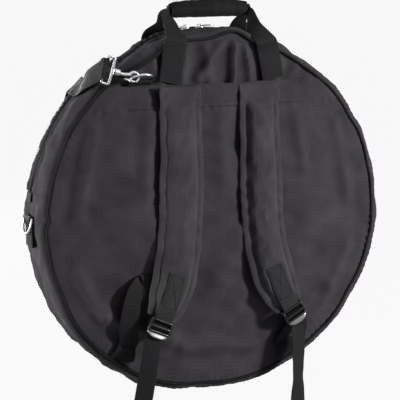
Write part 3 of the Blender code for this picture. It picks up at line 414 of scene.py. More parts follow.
def woven_polyester(name, dark, light, roughness=0.8, sheen=0.03):
    """Coated polyester oxford cloth: matt, with a fine plain weave and a faint silvery bloom."""
    material, tree, shader = start_material(name)
    # The real yarns lie 0.5 mm apart: they are drawn at 1.3 mm, so that they show
    size = 1.3 * MM * BAND_SIZE
    warp, weft = (
        uv_pattern(tree, "ShaderNodeTexWave", size, wave_type="BANDS", bands_direction=way, Scale=1.0)
        for way in "XY"
    )
    yarns = {0: warp.outputs["Fac"], 1: weft.outputs["Fac"]}
    weave = add(tree, "ShaderNodeMath", yarns, operation="MULTIPLY")
    slub = uv_pattern(tree, "ShaderNodeTexNoise", 2.2 * MM, Scale=1.0, Detail=3.0, Roughness=0.6)
    cloud = uv_pattern(tree, "ShaderNodeTexNoise", 60 * MM, Scale=1.0, Detail=3.0, Roughness=0.55)
    tone = add(tree, "ShaderNodeMath", {0: slub.outputs["Fac"], 1: cloud.outputs["Fac"]}, operation="ADD")
    colour = mixed(tree, ranged(tree, tone.outputs[0], 0.0, 1.0, 0.7, 1.3), dark, light)
    tree.links.new(colour, shader.inputs["Base Color"])
    uneven = ranged(tree, slub.outputs["Fac"], roughness - 0.06, roughness + 0.08)
    tree.links.new(uneven, shader.inputs["Roughness"])
    tuned(shader, Sheen_Weight=sheen, Sheen_Roughness=0.45, Specular_IOR_Level=0.02)
    rumple = uv_pattern(tree, "ShaderNodeTexNoise", 14 * MM, Scale=1.0, Detail=2.0)
    bumped(
        tree,
        shader,
        [
            (rumple.outputs["Fac"], 0.25, 1.2 * MM),
            (weave.outputs[0], 0.35, 0.25 * MM),
            (slub.outputs["Fac"], 0.2, 0.2 * MM),
        ],
    )
    return material


def ribbed_webbing(name, dark, light, rib=1.4):
    """Woven polypropylene webbing: dense ribs across it and two warp lines near its edges."""
    material, tree, shader = start_material(name)
    # Ribs lie 0.9 mm apart on the real webbing: they are drawn a little coarser, so that they show
    ribs, lines = (
        uv_pattern(tree, "ShaderNodeTexWave", size, wave_type="BANDS", bands_direction=way, Scale=1.0)
        for size, way in ((rib * MM * BAND_SIZE, "X"), (2.6 * MM * BAND_SIZE, "Y"))
    )
    tuned(ribs, Distortion=0.6)
    fuzz = uv_pattern(tree, "ShaderNodeTexNoise", 3 * MM, Scale=1.0, Detail=4.0)
    tone = add(tree, "ShaderNodeMath", {0: ribs.outputs["Fac"], 1: fuzz.outputs["Fac"]}, operation="MULTIPLY")
    colour = mixed(tree, ranged(tree, tone.outputs[0], 0.0, 1.0, 0.0, 0.7), dark, light)
    tree.links.new(colour, shader.inputs["Base Color"])
    tree.links.new(ranged(tree, fuzz.outputs["Fac"], 0.5, 0.75), shader.inputs["Roughness"])
    tuned(shader, Specular_IOR_Level=0.12)
    bumped(tree, shader, [(ribs.outputs["Fac"], 0.5, 0.4 * MM), (lines.outputs["Fac"], 0.25, 0.25 * MM)])
    return material


def sewing_thread(name, colour, light):
    """Bonded polyester thread: a slight shine along each stitch."""
    material, tree, shader = start_material(name)
    place = add(tree, "ShaderNodeTexCoord").outputs["Object"]
    fine = add(tree, "ShaderNodeTexNoise", {"Vector": place}, Scale=1 / (1.5 * MM))
    tree.links.new(mixed(tree, fine.outputs["Fac"], colour, light), shader.inputs["Base Color"])
    tuned(shader, Roughness=0.45, Specular_IOR_Level=0.1)
    return material


def chrome_plate(name):
    """Nickel and chrome on a die-cast hook or bent wire: bright, with a soft casting unevenness."""
    material, tree, shader = start_material(name)
    place = add(tree, "ShaderNodeTexCoord").outputs["Object"]
    cast = add(tree, "ShaderNodeTexNoise", {"Vector": place}, Scale=1 / (6 * MM), Detail=3.0)
    tree.links.new(mixed(tree, cast.outputs["Fac"], "#b9babd", "#dedfe1"), shader.inputs["Base Color"])
    tuned(shader, Metallic=1.0)
    tree.links.new(ranged(tree, cast.outputs["Fac"], 0.1, 0.26), shader.inputs["Roughness"])
    bumped(tree, shader, [(cast.outputs["Fac"], 0.12, 0.3 * MM)])
    return material


def moulded_acetal(name, coat=0.0):
    """Injection-moulded acetal buckle: black and glossy, with faint flow marks; a coat polishes it."""
    material, tree, shader = start_material(name)
    place = add(tree, "ShaderNodeTexCoord").outputs["Object"]
    flow = add(tree, "ShaderNodeTexNoise", {"Vector": place}, Scale=1 / (9 * MM), Detail=2.0)
    tree.links.new(mixed(tree, flow.outputs["Fac"], "#060607", "#0e0e10"), shader.inputs["Base Color"])
    tree.links.new(ranged(tree, flow.outputs["Fac"], 0.16, 0.3), shader.inputs["Roughness"])
    # The polished tab mirrors the white room much more strongly than plain acetal would
    tuned(shader, Specular_IOR_Level=0.32, Coat_Weight=coat, Coat_IOR=2.4, Coat_Roughness=0.2)
    bumped(tree, shader, [(flow.outputs["Fac"], 0.08, 0.2 * MM)])
    return material


def brushed_lining(name):
    """Brushed tricot over foam: very soft, with a short nap."""
    material, tree, shader = start_material(name)
    nap = uv_pattern(tree, "ShaderNodeTexNoise", 4 * MM, Scale=1.0, Detail=5.0, Roughness=0.7)
    tree.links.new(mixed(tree, nap.outputs["Fac"], "#2b2b2d", "#454548"), shader.inputs["Base Color"])
    tuned(shader, Roughness=0.95, Sheen_Weight=0.4)
    bumped(tree, shader, [(nap.outputs["Fac"], 0.4, 0.5 * MM)])
    return material


CLOTH = woven_polyester("polyester_oxford", "#302e31", "#464347")
STRAP_CLOTH = woven_polyester("polyester_oxford_strap", "#343235", "#4a474b", 0.76, 0.05)
WEBBING = ribbed_webbing("polypropylene_webbing", "#0b0a0c", "#242325")
PATCH_WEBBING = ribbed_webbing("polypropylene_webbing_patch", "#1b1a1c", "#3d3c3e")
# Near black: the grosgrain's own dark colour, made darker still so that the piping also carries painted shade
# of the seam's groove beside it
BINDING = ribbed_webbing("grosgrain_binding", "#0c0b0d", "#1d1c1e", 1.1)
GRIP_CLOTH = woven_polyester("grip_cloth", "#19181a", "#29282a", 0.55, 0.04)
ZIP_TAPE = ribbed_webbing("zip_tape_and_nylon_coil", "#161618", "#29292c", 1.2)
THREAD = sewing_thread("bonded_thread", "#1b1a1c", "#454448")
BLACK_THREAD = sewing_thread("bonded_black_thread", "#09090a", "#161517")
CHROME = chrome_plate("chrome_plated_zinc")
ACETAL = moulded_acetal("acetal_gloss")
POLISHED_ACETAL = moulded_acetal("acetal_polished", 1.0)
LINING = brushed_lining("brushed_tricot_lining")


def smooth_step(t):
    """0 below 0, 1 above 1, and an even S between."""
    t = np.clip(t, 0, 1)
    return t * t * (3 - 2 * t)


def bell(away, width):
    """1 in the middle, falling off on both sides as exp of minus the square of away over width."""
    return np.exp(-((away / width) ** 2))


def bent(wave, power):
    """A sine or cosine squared up or rounded: its sign kept, its size raised to a power."""
    return np.sign(wave) * np.abs(wave) ** power


def waves(x, y, length, seed, count=7):
    """Soft random folds: a sum of sines of about one wavelength in seeded directions, about -1 to 1."""
    random = np.random.default_rng(seed)
    total = np.zeros(np.broadcast(x, y).shape)
    for _ in range(count):
        turn, phase = random.uniform(0, 2 * np.pi, 2)
        rate = 2 * np.pi / (length * random.uniform(0.7, 1.5))
        total = total + np.sin(rate * (np.cos(turn) * x + np.sin(turn) * y) + phase)
    return total / (1.5 * count**0.5)


def slack_waves(x, y, layers, *seeds):
    """A cloth's own waves added up: each layer is a rise and a length, and has its seed."""
    return sum(rise * waves(x, y, length, seed) for (rise, length), seed in zip(layers, seeds))


def crease(x, z, start, end, width):
    """A ridge along a straight line: 1 on the line, falling off as a bell over width."""
    ahead = np.subtract(end, start)
    share = np.clip(((x - start[0]) * ahead[0] + (z - start[1]) * ahead[1]) / ahead.dot(ahead), 0, 1)
    away = np.hypot(x - start[0] - share * ahead[0], z - start[1] - share * ahead[1])
    return bell(away, width)


def surface(name, points, material, wrap=(False, False), poles=(False, False), caps=False, uv=None, sharp=40):
    """A mesh of a grid of points, rows by columns, with metres as its UV map.

    wrap joins the last row or column to the first, a pole row closes to one point, and caps closes
    the first and last rows with a fan. Faces are turned outwards at the end.
    """
    rows, columns = points.shape[:2]
    index = np.arange(rows * columns).reshape(rows, columns)
    if poles[0]:
        index[0] = index[0, 0]
    if poles[1]:
        index[-1] = index[-1, 0]
    if uv is None:
        down = np.linalg.norm(np.diff(points, axis=0, append=points[-1:]), axis=2).mean(1)
        along = np.linalg.norm(np.diff(points, axis=1, append=points[:, -1:]), axis=2).mean(0)
        u = np.concatenate(([0], np.cumsum(down)[:-1]))
        v = np.concatenate(([0], np.cumsum(along)[:-1]))
        uv = np.stack(np.meshgrid(u, v, indexing="ij"), axis=2)
    if wrap[0]:
        index = np.vstack((index, index[:1]))
        uv = np.concatenate((uv, 2 * uv[-1:] - uv[-2:-1]))
    if wrap[1]:
        index = np.hstack((index, index[:, :1]))
        uv = np.concatenate((uv, 2 * uv[:, -1:] - uv[:, -2:-1]), axis=1)
    corners = (slice(None, -1), slice(None, -1)), (slice(None, -1), slice(1, None))
    corners += (slice(1, None), slice(1, None)), (slice(1, None), slice(None, -1))
    quads = np.stack([index[c].ravel() for c in corners], axis=1)
    quad_uv = np.stack([uv[c].reshape(-1, 2) for c in corners], axis=1)
    ring = index.shape[1] - 1
    first = ring if poles[0] else 0
    last = len(quads) - (ring if poles[1] else 0)
    faces = quads[first:last].tolist()
    face_uv = [quad_uv[first:last].reshape(-1, 2)]
    ends = (slice(0, first), [1, 2, 3]), (slice(last, None), [0, 1, 2])
    for closes, (part, keep) in zip(poles, ends):
        if closes:
            faces += quads[part][:, keep].tolist()
            face_uv.append(quad_uv[part][:, keep].reshape(-1, 2))
    vertices = points.reshape(-1, 3)
    if caps:
        for near, way in ((0, 1), (-1, -1)):
            middle = np.full(ring, len(vertices))
            vertices = np.vstack((vertices, points[near].mean(0)))
            fan = np.stack((index[near, 1:], index[near, :-1], middle), axis=1)[:, ::way]
            faces += fan.tolist()
            face_uv.append(np.zeros((fan.size, 2)))
    return mesh_piece(name, vertices, faces, np.concatenate(face_uv), material, sharp)


def mesh_piece(name, vertices, faces, face_uv, material, sharp=40):
    """Make a mesh object at the origin, drop points that no face uses, and turn its faces outwards."""
    counts = np.fromiter(map(len, faces), int)
    used, renumbered = np.unique(np.concatenate(faces), return_inverse=True)
    faces = [part.tolist() for part in np.split(renumbered, np.cumsum(counts)[:-1])]
    mesh = bpy.data.meshes.new(name)
    mesh.from_pydata(np.asarray(vertices)[used].tolist(), [], faces)
    layer = mesh.uv_layers.new(name="metres")
    layer.data.foreach_set("uv", np.asarray(face_uv, np.float32).ravel())
    turn_outwards(mesh)
    mesh.shade_smooth()
    mesh.set_sharp_from_angle(angle=math.radians(sharp))
    piece = bpy.data.objects.new(name, mesh)
    bpy.context.scene.collection.objects.link(piece)
    mesh.materials.append(material)
    return piece


def turn_outwards(mesh):
    """Flip a closed mesh whose volume comes out negative."""
    mesh.calc_loop_triangles()
    corners = np.empty(len(mesh.loop_triangles) * 3, np.int32)
    mesh.loop_triangles.foreach_get("vertices", corners)
    places = np.empty(len(mesh.vertices) * 3)
    mesh.vertices.foreach_get("co", places)
    a, b, c = places.reshape(-1, 3)[corners].reshape(-1, 3, 3).transpose(1, 0, 2)
    if (a * np.cross(b, c)).sum() < 0:
        mesh.flip_normals()


def dress(piece, body, nodes=()):
    """Give a piece its body, or only bake its place when body is a tuple of two bodies and two points, and
    hide the model nodes that it stands for.
    """
    if isinstance(body, str):
        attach(piece, body)
    else:
        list(body)
        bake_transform(piece)
    if nodes:
        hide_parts(*nodes)
    return piece


def placed(x, y, height):
    """Points of the bag from x, y and height above its centre."""
    x, y, height = np.broadcast_arrays(x, y, height)
    return np.stack((x, y, height - GRIP_RISE), axis=-1)


def round_at(radius, angle, y):
    """Points round the bag's axis: angle in radians from the top towards +X."""
    return placed(radius * np.sin(angle), y, radius * np.cos(angle))


def back_out(radius):
    """How far the back panel stands out of its seam's plane."""
    return BACK_CROWN * (1 - np.minimum(1, radius / SEAM_RADIUS) ** CROWN_POWER)


def pocket_out(radius):
    """How far the stow pocket's face stands out of the back seam's plane."""
    own = POCKET_CROWN * (1 - np.minimum(1, radius / POCKET_RADIUS) ** CROWN_POWER)
    return back_out(radius) + POCKET_SEAT + POCKET_WALL + own


def resampled(path, step=None, count=None):
    """Catmull-Rom curve through the points, cut anew at even distances: other columns go along."""
    path = np.asarray(path, float)
    ends = np.vstack((2 * path[0] - path[1], path, 2 * path[-1] - path[-2]))
    a, b, c, d = ends[:-3, None], ends[1:-2, None], ends[2:-1, None], ends[3:, None]
    t = np.linspace(0, 1, 24, endpoint=False)[None, :, None]
    curve = b + t * (c - a) / 2 + t**2 * (a - 2.5 * b + 2 * c - d / 2) + t**3 * (1.5 * (b - c) + (d - a) / 2)
    curve = np.vstack((curve.reshape(-1, path.shape[1]), path[-1:]))
    run = np.concatenate(([0], np.cumsum(np.linalg.norm(np.diff(curve[:, :3], axis=0), axis=1))))
    count = count or max(3, int(run[-1] / step) + 1)
    at = np.linspace(0, run[-1], count)
    return np.stack([np.interp(at, run, column) for column in curve.T], axis=1)


def unit(v):
    """Vectors made one long."""
    return v / np.maximum(np.linalg.norm(v, axis=-1, keepdims=True), 1e-12)


def ways(path):
    """Directions along a path."""
    return unit(np.gradient(path[:, :3], axis=0))


def tube(name, path, radius, material, up, sides=14, closed=False, sharp=60):
    """A round bar along a path, its radius one value or one for each point; up is never along it."""
    path = np.asarray(path, float)
    if closed:
        ahead = unit(np.roll(path, -1, axis=0) - np.roll(path, 1, axis=0))
    else:
        ahead = ways(path)
    side = unit(np.cross(ahead, up))
    over = np.cross(side, ahead)
    around = np.linspace(0, 2 * np.pi, sides, endpoint=False)[None, :, None]
    radii = np.broadcast_to(radius, len(path))[:, None, None]
    points = path[:, None] + radii * (np.cos(around) * side[:, None] + np.sin(around) * over[:, None])
    return surface(name, points, material, wrap=(closed, True), caps=not closed, sharp=sharp)


def flat_section(count):
    """Section of webbing, 1 wide and 1 thick: a superellipse with level faces and rounded edges."""
    around = np.linspace(0, 2 * np.pi, count, endpoint=False) + np.pi / count
    return bent(np.cos(around), 0.35) / 2, bent(np.sin(around), 0.5) / 2


def frames(path, across):
    """Way ahead, across and out along a band."""
    ahead = ways(path)
    across = unit(across - ahead * (across * ahead).sum(-1, keepdims=True))
    return ahead, across, np.cross(across, ahead)


def band(name, path, across, width, wall, material, step=0.003, ripple=0.0, seed=1, count=22):
    """Webbing along a path: across, width and wall are one value or one for each point of the path."""
    path = np.asarray(path, float)
    size = len(path)
    across = np.broadcast_to(np.asarray(across, float), (size, 3))
    extra = [np.broadcast_to(value, size)[:, None] for value in (width, wall)]
    fine = resampled(np.hstack((path, across, *extra)), step)
    line, across, width, wall = fine[:, :3], fine[:, 3:6], fine[:, 6:7], fine[:, 7:8]
    _, across, out = frames(line, across)
    u, v = flat_section(count)
    run = np.linspace(0, step * len(line), len(line))[:, None]
    lift = ripple * waves(run, u * width, 0.03, seed)
    points = line[:, None] + across[:, None] * (u * width)[..., None]
    points = points + out[:, None] * (v * wall + lift)[..., None]
    uv = np.stack(np.broadcast_arrays(run, u * width), axis=-1)
    return surface(name, points, material, wrap=(False, True), caps=True, uv=uv, sharp=50)


STITCH_RING = np.linspace(0, 2 * np.pi, 6, endpoint=False)
STITCH_POINTS = np.vstack(
    (
        [[-1, 0, 0]],
        np.stack((0 * STITCH_RING, np.cos(STITCH_RING), np.sin(STITCH_RING)), axis=1),
        [[1, 0, 0]],
    )
)
STITCH_FACES = np.array(
    [[0, 1 + (i + 1) % 6, 1 + i] for i in range(6)] + [[7, 1 + i, 1 + (i + 1) % 6] for i in range(6)]
)


def stitch_line(points, normals, pitch=0.0045, length=0.0034, thick=0.0007):
    """Stitches along a line on a surface: their points and faces, one small spindle each."""
    fine = resampled(np.hstack((points, np.broadcast_to(normals, np.shape(points)))), pitch)
    middle = (fine[1:, :3] + fine[:-1, :3]) / 2
    ahead = unit(fine[1:, :3] - fine[:-1, :3])
    out = unit(fine[1:, 3:])
    out = unit(out - ahead * (out * ahead).sum(-1, keepdims=True))
    side = np.cross(out, ahead)
    axes = np.stack((ahead * length / 2, side * thick, out * thick * 0.8), axis=1)
    return (middle[:, None] + np.einsum("pk,nkc->npc", STITCH_POINTS, axes)).reshape(-1, 3)


def stitching(name, lines, body, material=None):
    """All of a body's stitches as one piece."""
    points = np.vstack([stitch_line(*line) for line in lines])
    count = len(points) // len(STITCH_POINTS)
    faces = (STITCH_FACES + len(STITCH_POINTS) * np.arange(count)[:, None, None]).reshape(-1, 3)
    uv = np.zeros((faces.size, 2))
    piece = mesh_piece(name, points, faces.tolist(), uv, material or THREAD, 60)
    return dress(piece, body)


def box_cross(low, high, half, normal, inset=0.12):
    """Box-and-cross stitching of a sewn webbing end: from low to high, half to each side, less an inset."""
    corners = np.array([low - half, low + half, high + half, high - half])
    middle = corners.mean(0)
    corners = middle + (corners - middle) * (1 - inset)
    a, b, c, d = corners
    return [(np.array(pair), normal) for pair in ((a, b), (b, c), (c, d), (d, a), (a, c), (b, d))]


# Bulges of the outline: place in degrees round the bag from its top, half width, how far out
TOP_SAGS = ((-28, 8, -0.0105), (34, 7, -0.0040))
RIM_LIFTS = ((7, 4.5, 0.010), (-13, 4, 0.004), (-88, 1.6, -0.004))
BODY_SAGS = (
    (108, 32, 0.0048),
    (136, 10, 0.001),
    (160, 14, 0.002),
    (208, 20, 0.0036),
    (232, 12, 0.0028),
    (292, 14, -0.0022),
    (184, 12, -0.0022),
)


def bulges(degrees, table):
    """All of a table's bulges added up: each is a bell round its own place."""
    return sum(rise * bell(degrees - place, width) for place, width, rise in table)


def from_top(angle):
    """Degrees from the top for an angle in radians, from -180 to 180."""
    return np.degrees((angle + np.pi) % (2 * np.pi) - np.pi)


def top_sag(angle):
    """How far the bag's top sinks beside the handles' feet, where nothing pulls it up."""
    return bulges(from_top(angle), TOP_SAGS)


def sag_out(angle):
    """How far the bag hangs out of round: fuller at the lower right and at the bottom."""
    return top_sag(angle) + bulges(np.degrees(angle) % 360, BODY_SAGS)


def rim_lift(angle):
    """How far the back seam is pulled out round the top: cloth gathered at the handles' feet, small waves."""
    lifts = bulges(from_top(angle), RIM_LIFTS) + sag_out(angle)
    return lifts + 0.0008 * np.sin(11 * angle + 1) + 0.0006 * np.sin(23 * angle)


# Waves of each cloth: rise and length
PANEL_WAVES = ((0.003, 0.05),)
POCKET_WAVES = ((0.0032, 0.10), (0.0011, 0.035))
FRONT_WAVES = ((0.0012, 0.07), (0.0008, 0.03))
DIVIDER_WAVES = ((0.0006, 0.09),)
FRONT_POCKET_WAVES = ((0.0016, 0.08), (0.0006, 0.03))
STRAP_WAVES = ((0.0011, 0.045), (0.0005, 0.018))
# How far the folded cloths lie inside their plain shape, so that the folds stand out on both sides of it
PANEL_SINK = 0.002
POCKET_SINK = 0.0035
FRONT_SINK = 0.002
FRONT_POCKET_SINK = 0.0016
# Height from which the back panel's cloth is free of the stow pocket
FREE_HEIGHT = 0.185
# Folds of the back panel above the hem: from, to, half width, height, all made steeper by one factor
TOP_FOLD_RISE = 1.25
TOP_FOLDS = (
    ((0.034, 0.292), (0.024, 0.205), 0.007, 0.009),
    ((0.020, 0.290), (-0.032, 0.222), 0.008, 0.007),
    ((0.052, 0.288), (0.058, 0.215), 0.006, 0.005),
    ((-0.020, 0.288), (-0.012, 0.212), 0.009, 0.004),
    ((-0.050, 0.284), (-0.060, 0.214), 0.008, 0.006),
    ((-0.110, 0.262), (-0.095, 0.212), 0.010, 0.004),
    ((-0.150, 0.240), (-0.128, 0.214), 0.010, 0.004),
    ((0.118, 0.262), (0.104, 0.212), 0.009, 0.006),
    ((0.150, 0.244), (0.128, 0.212), 0.010, 0.005),
    ((0.184, 0.216), (0.150, 0.210), 0.010, 0.004),
)
# Folds of the stow pocket: between the straps, beside their ends and along the bottom seam
POCKET_FOLD_RISE = 1.7
POCKET_FOLDS = (
    ((-0.118, 0.190), (-0.128, 0.040), 0.012, 0.0035),
    ((0.000, 0.200), (0.006, 0.060), 0.016, 0.0030),
    ((0.130, 0.195), (0.150, 0.070), 0.012, 0.0035),
    ((-0.210, 0.150), (-0.235, 0.020), 0.012, 0.0030),
    ((0.214, 0.140), (0.238, 0.010), 0.012, 0.0030),
    ((-0.085, -0.200), (-0.190, -0.150), 0.014, 0.0050),
    ((-0.060, -0.215), (0.060, -0.222), 0.013, 0.0045),
    ((0.090, -0.205), (0.200, -0.140), 0.014, 0.0045),
    ((-0.240, -0.080), (-0.200, -0.150), 0.013, 0.0040),
    ((0.240, -0.070), (0.196, -0.160), 0.013, 0.0040),
    ((-0.030, -0.070), (0.040, -0.130), 0.018, 0.0025),
    ((-0.160, 0.080), (-0.100, -0.060), 0.018, 0.0020),
    ((0.040, -0.020), (-0.010, -0.120), 0.018, 0.0025),
)


def folds(x, height, lines):
    """All of a table's folds at once: their heights added up at each place."""
    return sum(rise * crease(x, height, start, end, width) for start, end, width, rise in lines)


def seam_puckers(angle, inside, seed, count=150, depth=0.0011, reach=0.011):
    """Small ripples that run in from a sewn seam and fade within reach of it."""
    random = np.random.default_rng(seed)
    phase = 2.5 * np.sin(angle * 5 + random.uniform(0, 6)) + 1.5 * np.sin(angle * 13 + random.uniform(0, 6))
    strength = 0.6 + 0.4 * np.sin(angle * 9 + random.uniform(0, 6))
    return depth * strength * np.sin(count * angle + phase) * np.exp(-inside / reach)


def disc_shares(rows):
    """Rows from the middle of a disc to its rim, closer together at the rim."""
    return 1 - (1 - np.linspace(0, 1, rows)) ** 1.15


def reach(inside, centre, angles, far=0.4):
    """Distance from a centre to the edge of a region in each direction, by halving."""
    low, high = np.zeros(len(angles)), np.full(len(angles), far)
    for _ in range(40):
        middle = (low + high) / 2
        within = inside(centre[0] + middle * np.sin(angles), centre[1] + middle * np.cos(angles))
        low, high = np.where(within, middle, low), np.where(within, high, middle)
    return low


def plate(name, inside, centre, corners, outer, inner, material, rows=60, columns=240, rim=4):
    """A cloth plate over a region of x and height, with its outer and inner face as functions.

    Rays leave the region's centre, some of them through its corners; each row of points stands at
    one share of every ray, first on the outer face, then round the rim and back on the inner face.
    """
    angles = np.linspace(0, 2 * np.pi, columns, endpoint=False)
    for x, height in corners:
        angle = math.atan2(x - centre[0], height - centre[1]) % (2 * np.pi)
        angles[np.argmin(np.abs((angles - angle + np.pi) % (2 * np.pi) - np.pi))] = angle
    angles = np.sort(angles)
    far = reach(inside, centre, angles)
    shares = disc_shares(rows)[:, None]
    x, height = centre[0] + shares * far * np.sin(angles), centre[1] + shares * far * np.cos(angles)
    front, back = outer(x, height), inner(x, height)
    turn = np.linspace(0, 1, rim + 2)[1:-1, None]
    edge_y = front[-1] + (back[-1] - front[-1]) * turn
    few = np.unique(np.concatenate((np.arange(0, rows, 3), [rows - 1])))[::-1]
    y = np.vstack((front, edge_y, back[few]))
    xs = np.vstack((x, np.repeat(x[-1:], rim, axis=0), x[few]))
    heights = np.vstack((height, np.repeat(height[-1:], rim, axis=0), height[few]))
    uv = np.stack((xs, heights), axis=-1)
    return surface(name, placed(xs, y, heights), material, wrap=(False, True), poles=(True, True), uv=uv)


def make_back_panel():
    """Padded back panel: folds, waves and puckers added up above the stow pocket's hem, smooth under it."""

    def outer(x, height):
        """The crown with folds and waves where it is free of the pocket, and a groove along the top seam."""
        radius, angle = np.hypot(x, height), np.arctan2(x, height)
        free = smooth_step((height - FREE_HEIGHT) / 0.03) * smooth_step((0.004 + SEAM_RADIUS - radius) / 0.02)
        relief = TOP_FOLD_RISE * folds(x, height, TOP_FOLDS) + slack_waves(x, height, PANEL_WAVES, 5)
        relief = relief - PANEL_SINK + seam_puckers(angle, SEAM_RADIUS - radius, 3, depth=0.0009)
        groove = smooth_step((radius - SEAM_RADIUS + 0.010) / 0.008) * smooth_step((height - 0.2) / 0.01)
        return -HALF_DEPTH - back_out(radius) - free * relief + 0.0025 * groove

    def inner(x, height):
        """The plain crown, one wall further in."""
        return -HALF_DEPTH - back_out(np.hypot(x, height)) + PANEL_WALL

    def inside(x, height):
        """Within the seam."""
        return np.hypot(x, height) < SEAM_RADIUS + rim_lift(np.arctan2(x, height))

    piece = plate("back_panel_cloth", inside, (0, 0), (), outer, inner, CLOTH, rows=110, columns=420)
    return dress(piece, "bag", ["back_panel"])


def make_pocket():
    """Stow pocket: one slack layer over the back, hemmed across its top.

    Folds, waves, puckers at the seam and the hem's swing are added to the pocket's crown.
    """
    corner_x = math.sqrt(POCKET_RADIUS**2 - HEM_HEIGHT**2)
    hem_low = HEM_HEIGHT - HEM_DEPTH

    def outer(x, height):
        """The crown with folds, fading at the seam, then the raised hem with its two sunk rows of thread."""
        radius, angle = np.hypot(x, height), np.arctan2(x, height)
        free = smooth_step((POCKET_RADIUS - radius) / 0.03)
        relief = POCKET_FOLD_RISE * folds(x, height, POCKET_FOLDS)
        relief = relief + slack_waves(x, height, POCKET_WAVES, 11, 12) - POCKET_SINK
        relief = relief * (0.35 + 0.65 * smooth_step((hem_low - height) / 0.03))
        puckers = seam_puckers(angle, POCKET_RADIUS - radius, 7, depth=0.0010, reach=0.013)
        hem = HEM_RISE * smooth_step((height - hem_low) / 0.0015)
        hem_ripples = 0.0007 * np.sin(x * 340 + 2 * np.sin(x * 60)) * bell(height - hem_low, 0.006)
        rows = sum(bell(height - row, 0.0012) for row in (hem_low, hem_low + HEM_ROW_GAP))
        swing = 0.004 * np.sin(x * 24 + 1.0) * smooth_step((height - 0.16) / 0.05) * free
        raised = free * relief + puckers + hem + hem_ripples + swing
        return -HALF_DEPTH - pocket_out(radius) - raised + HEM_ROW_SINK * rows

    def inner(x, height):
        """The same face, one wall further in."""
        return outer(x, height) + POCKET_WALL

    def inside(x, height):
        """Within the seam and under the hem's edge."""
        return (np.hypot(x, height) < POCKET_RADIUS + rim_lift(np.arctan2(x, height))) & (height < HEM_HEIGHT)

    corners = ((-corner_x, HEM_HEIGHT), (corner_x, HEM_HEIGHT))
    centre = (0, -0.02)
    piece = plate("stow_pocket_cloth", inside, centre, corners, outer, inner, CLOTH, rows=140, columns=460)
    dress(piece, "bag", ["back_pocket"])
    lines = []
    for row in (hem_low, hem_low + HEM_ROW_GAP, HEM_HEIGHT - 0.002):
        half = math.sqrt(POCKET_RADIUS**2 - row**2) - 0.004
        x = np.linspace(-half, half, 160)
        spots = placed(x, outer(x, np.full(160, row)) - 0.0002, row)
        lines.append((spots, (0, -1, 0)))
    return lines


def make_piping(name, side, start, end, body, nodes):
    """Corded piping on a seam's circle, slightly uneven: the back one is closed, a front one is an arc."""
    closed = start is None
    count = 360 if closed else max(60, int(math.degrees(end - start)))
    angle = np.linspace(0, 2 * np.pi, count, endpoint=False) if closed else np.linspace(start, end, count)
    lift = rim_lift(angle) if side < 0 else top_sag(angle)
    away = SEAM_RADIUS + lift + 0.0005 * np.sin(17 * angle) + 0.0003 * np.sin(41 * angle)
    y = side * (HALF_DEPTH + PIPING_RADIUS + CLEARANCE) + 0.0003 * np.sin(29 * angle)
    path = round_at(away, angle, y)
    # The cord's colour holds painted shade of the seam's groove as well as its own near black
    piece = tube(name, path, PIPING_RADIUS * 1.04, BINDING, (0, 1, 0), sides=12, closed=closed)
    return dress(piece, body, nodes)


def side_radius(y):
    """Outer radius of the side wall at a depth."""
    over = np.maximum(0, np.abs(y) - (HALF_DEPTH - SHOULDER)) / SHOULDER
    foot = SEAM_RADIUS / math.cos(math.pi / 48)
    return foot + (SIDE_RADIUS - foot) * np.sqrt(np.maximum(0, 1 - over**2))


def make_wall(name, low, high, turn, body, nodes, seed, zip_edge=None):
    """A strip of the padded side wall: its radius with waves, puckers at both edges and a fold by the zip."""
    angle = np.linspace(*turn, int(abs(turn[1] - turn[0]) * SIDE_RADIUS / 0.0028))[:, None]
    run = angle * SIDE_RADIUS
    y = (low + high) / 2 + (high - low) / 2 * np.sin(np.linspace(-1, 1, 61) * np.pi / 2)[None, :]
    near = np.minimum(np.abs(y - low), np.abs(y - high))
    relief = 0.0022 * waves(run, y * 1.6, 0.05, seed) + 0.0008 * waves(run, y, 0.02, seed + 1)
    radius = side_radius(y) + smooth_step(near / 0.010) * relief - 0.0012 * (1 - smooth_step(near / 0.004))
    radius = radius + sag_out(angle)
    for edge in (low, high):
        radius = radius + seam_puckers(angle, np.abs(y - edge), seed + 4, count=190, reach=0.007)
    if zip_edge is not None:
        away = np.abs(y - zip_edge)
        radius = radius + 0.0012 * bell(away - 0.0025, 0.0022) - 0.0009 * bell(away - TOPSTITCH_INSET, 0.0012)
    if low == -HALF_DEPTH:
        radius = radius + rim_lift(angle) * smooth_step(1 - np.abs(y - low) / 0.028)
    inner_y = y[:, ::-4]
    inner = side_radius(inner_y) - SIDE_WALL + top_sag(angle)
    radii, depths = np.hstack((radius, inner)), np.hstack((y, inner_y))
    uv = np.stack(np.broadcast_arrays(run, depths + (radii - SIDE_RADIUS)), axis=-1)
    piece = surface(name, round_at(radii, angle, depths), CLOTH, wrap=(False, True), caps=True, uv=uv)
    dress(piece, body, nodes)
    if zip_edge is None:
        return []
    row = zip_edge + (TOPSTITCH_INSET if zip_edge == low else -TOPSTITCH_INSET)
    angle = np.linspace(*turn, 300)
    spots = round_at(SIDE_RADIUS + 0.0002 + top_sag(angle), angle, row)
    return [(spots, unit(round_at(1.0, angle, 0) - CENTRE))]


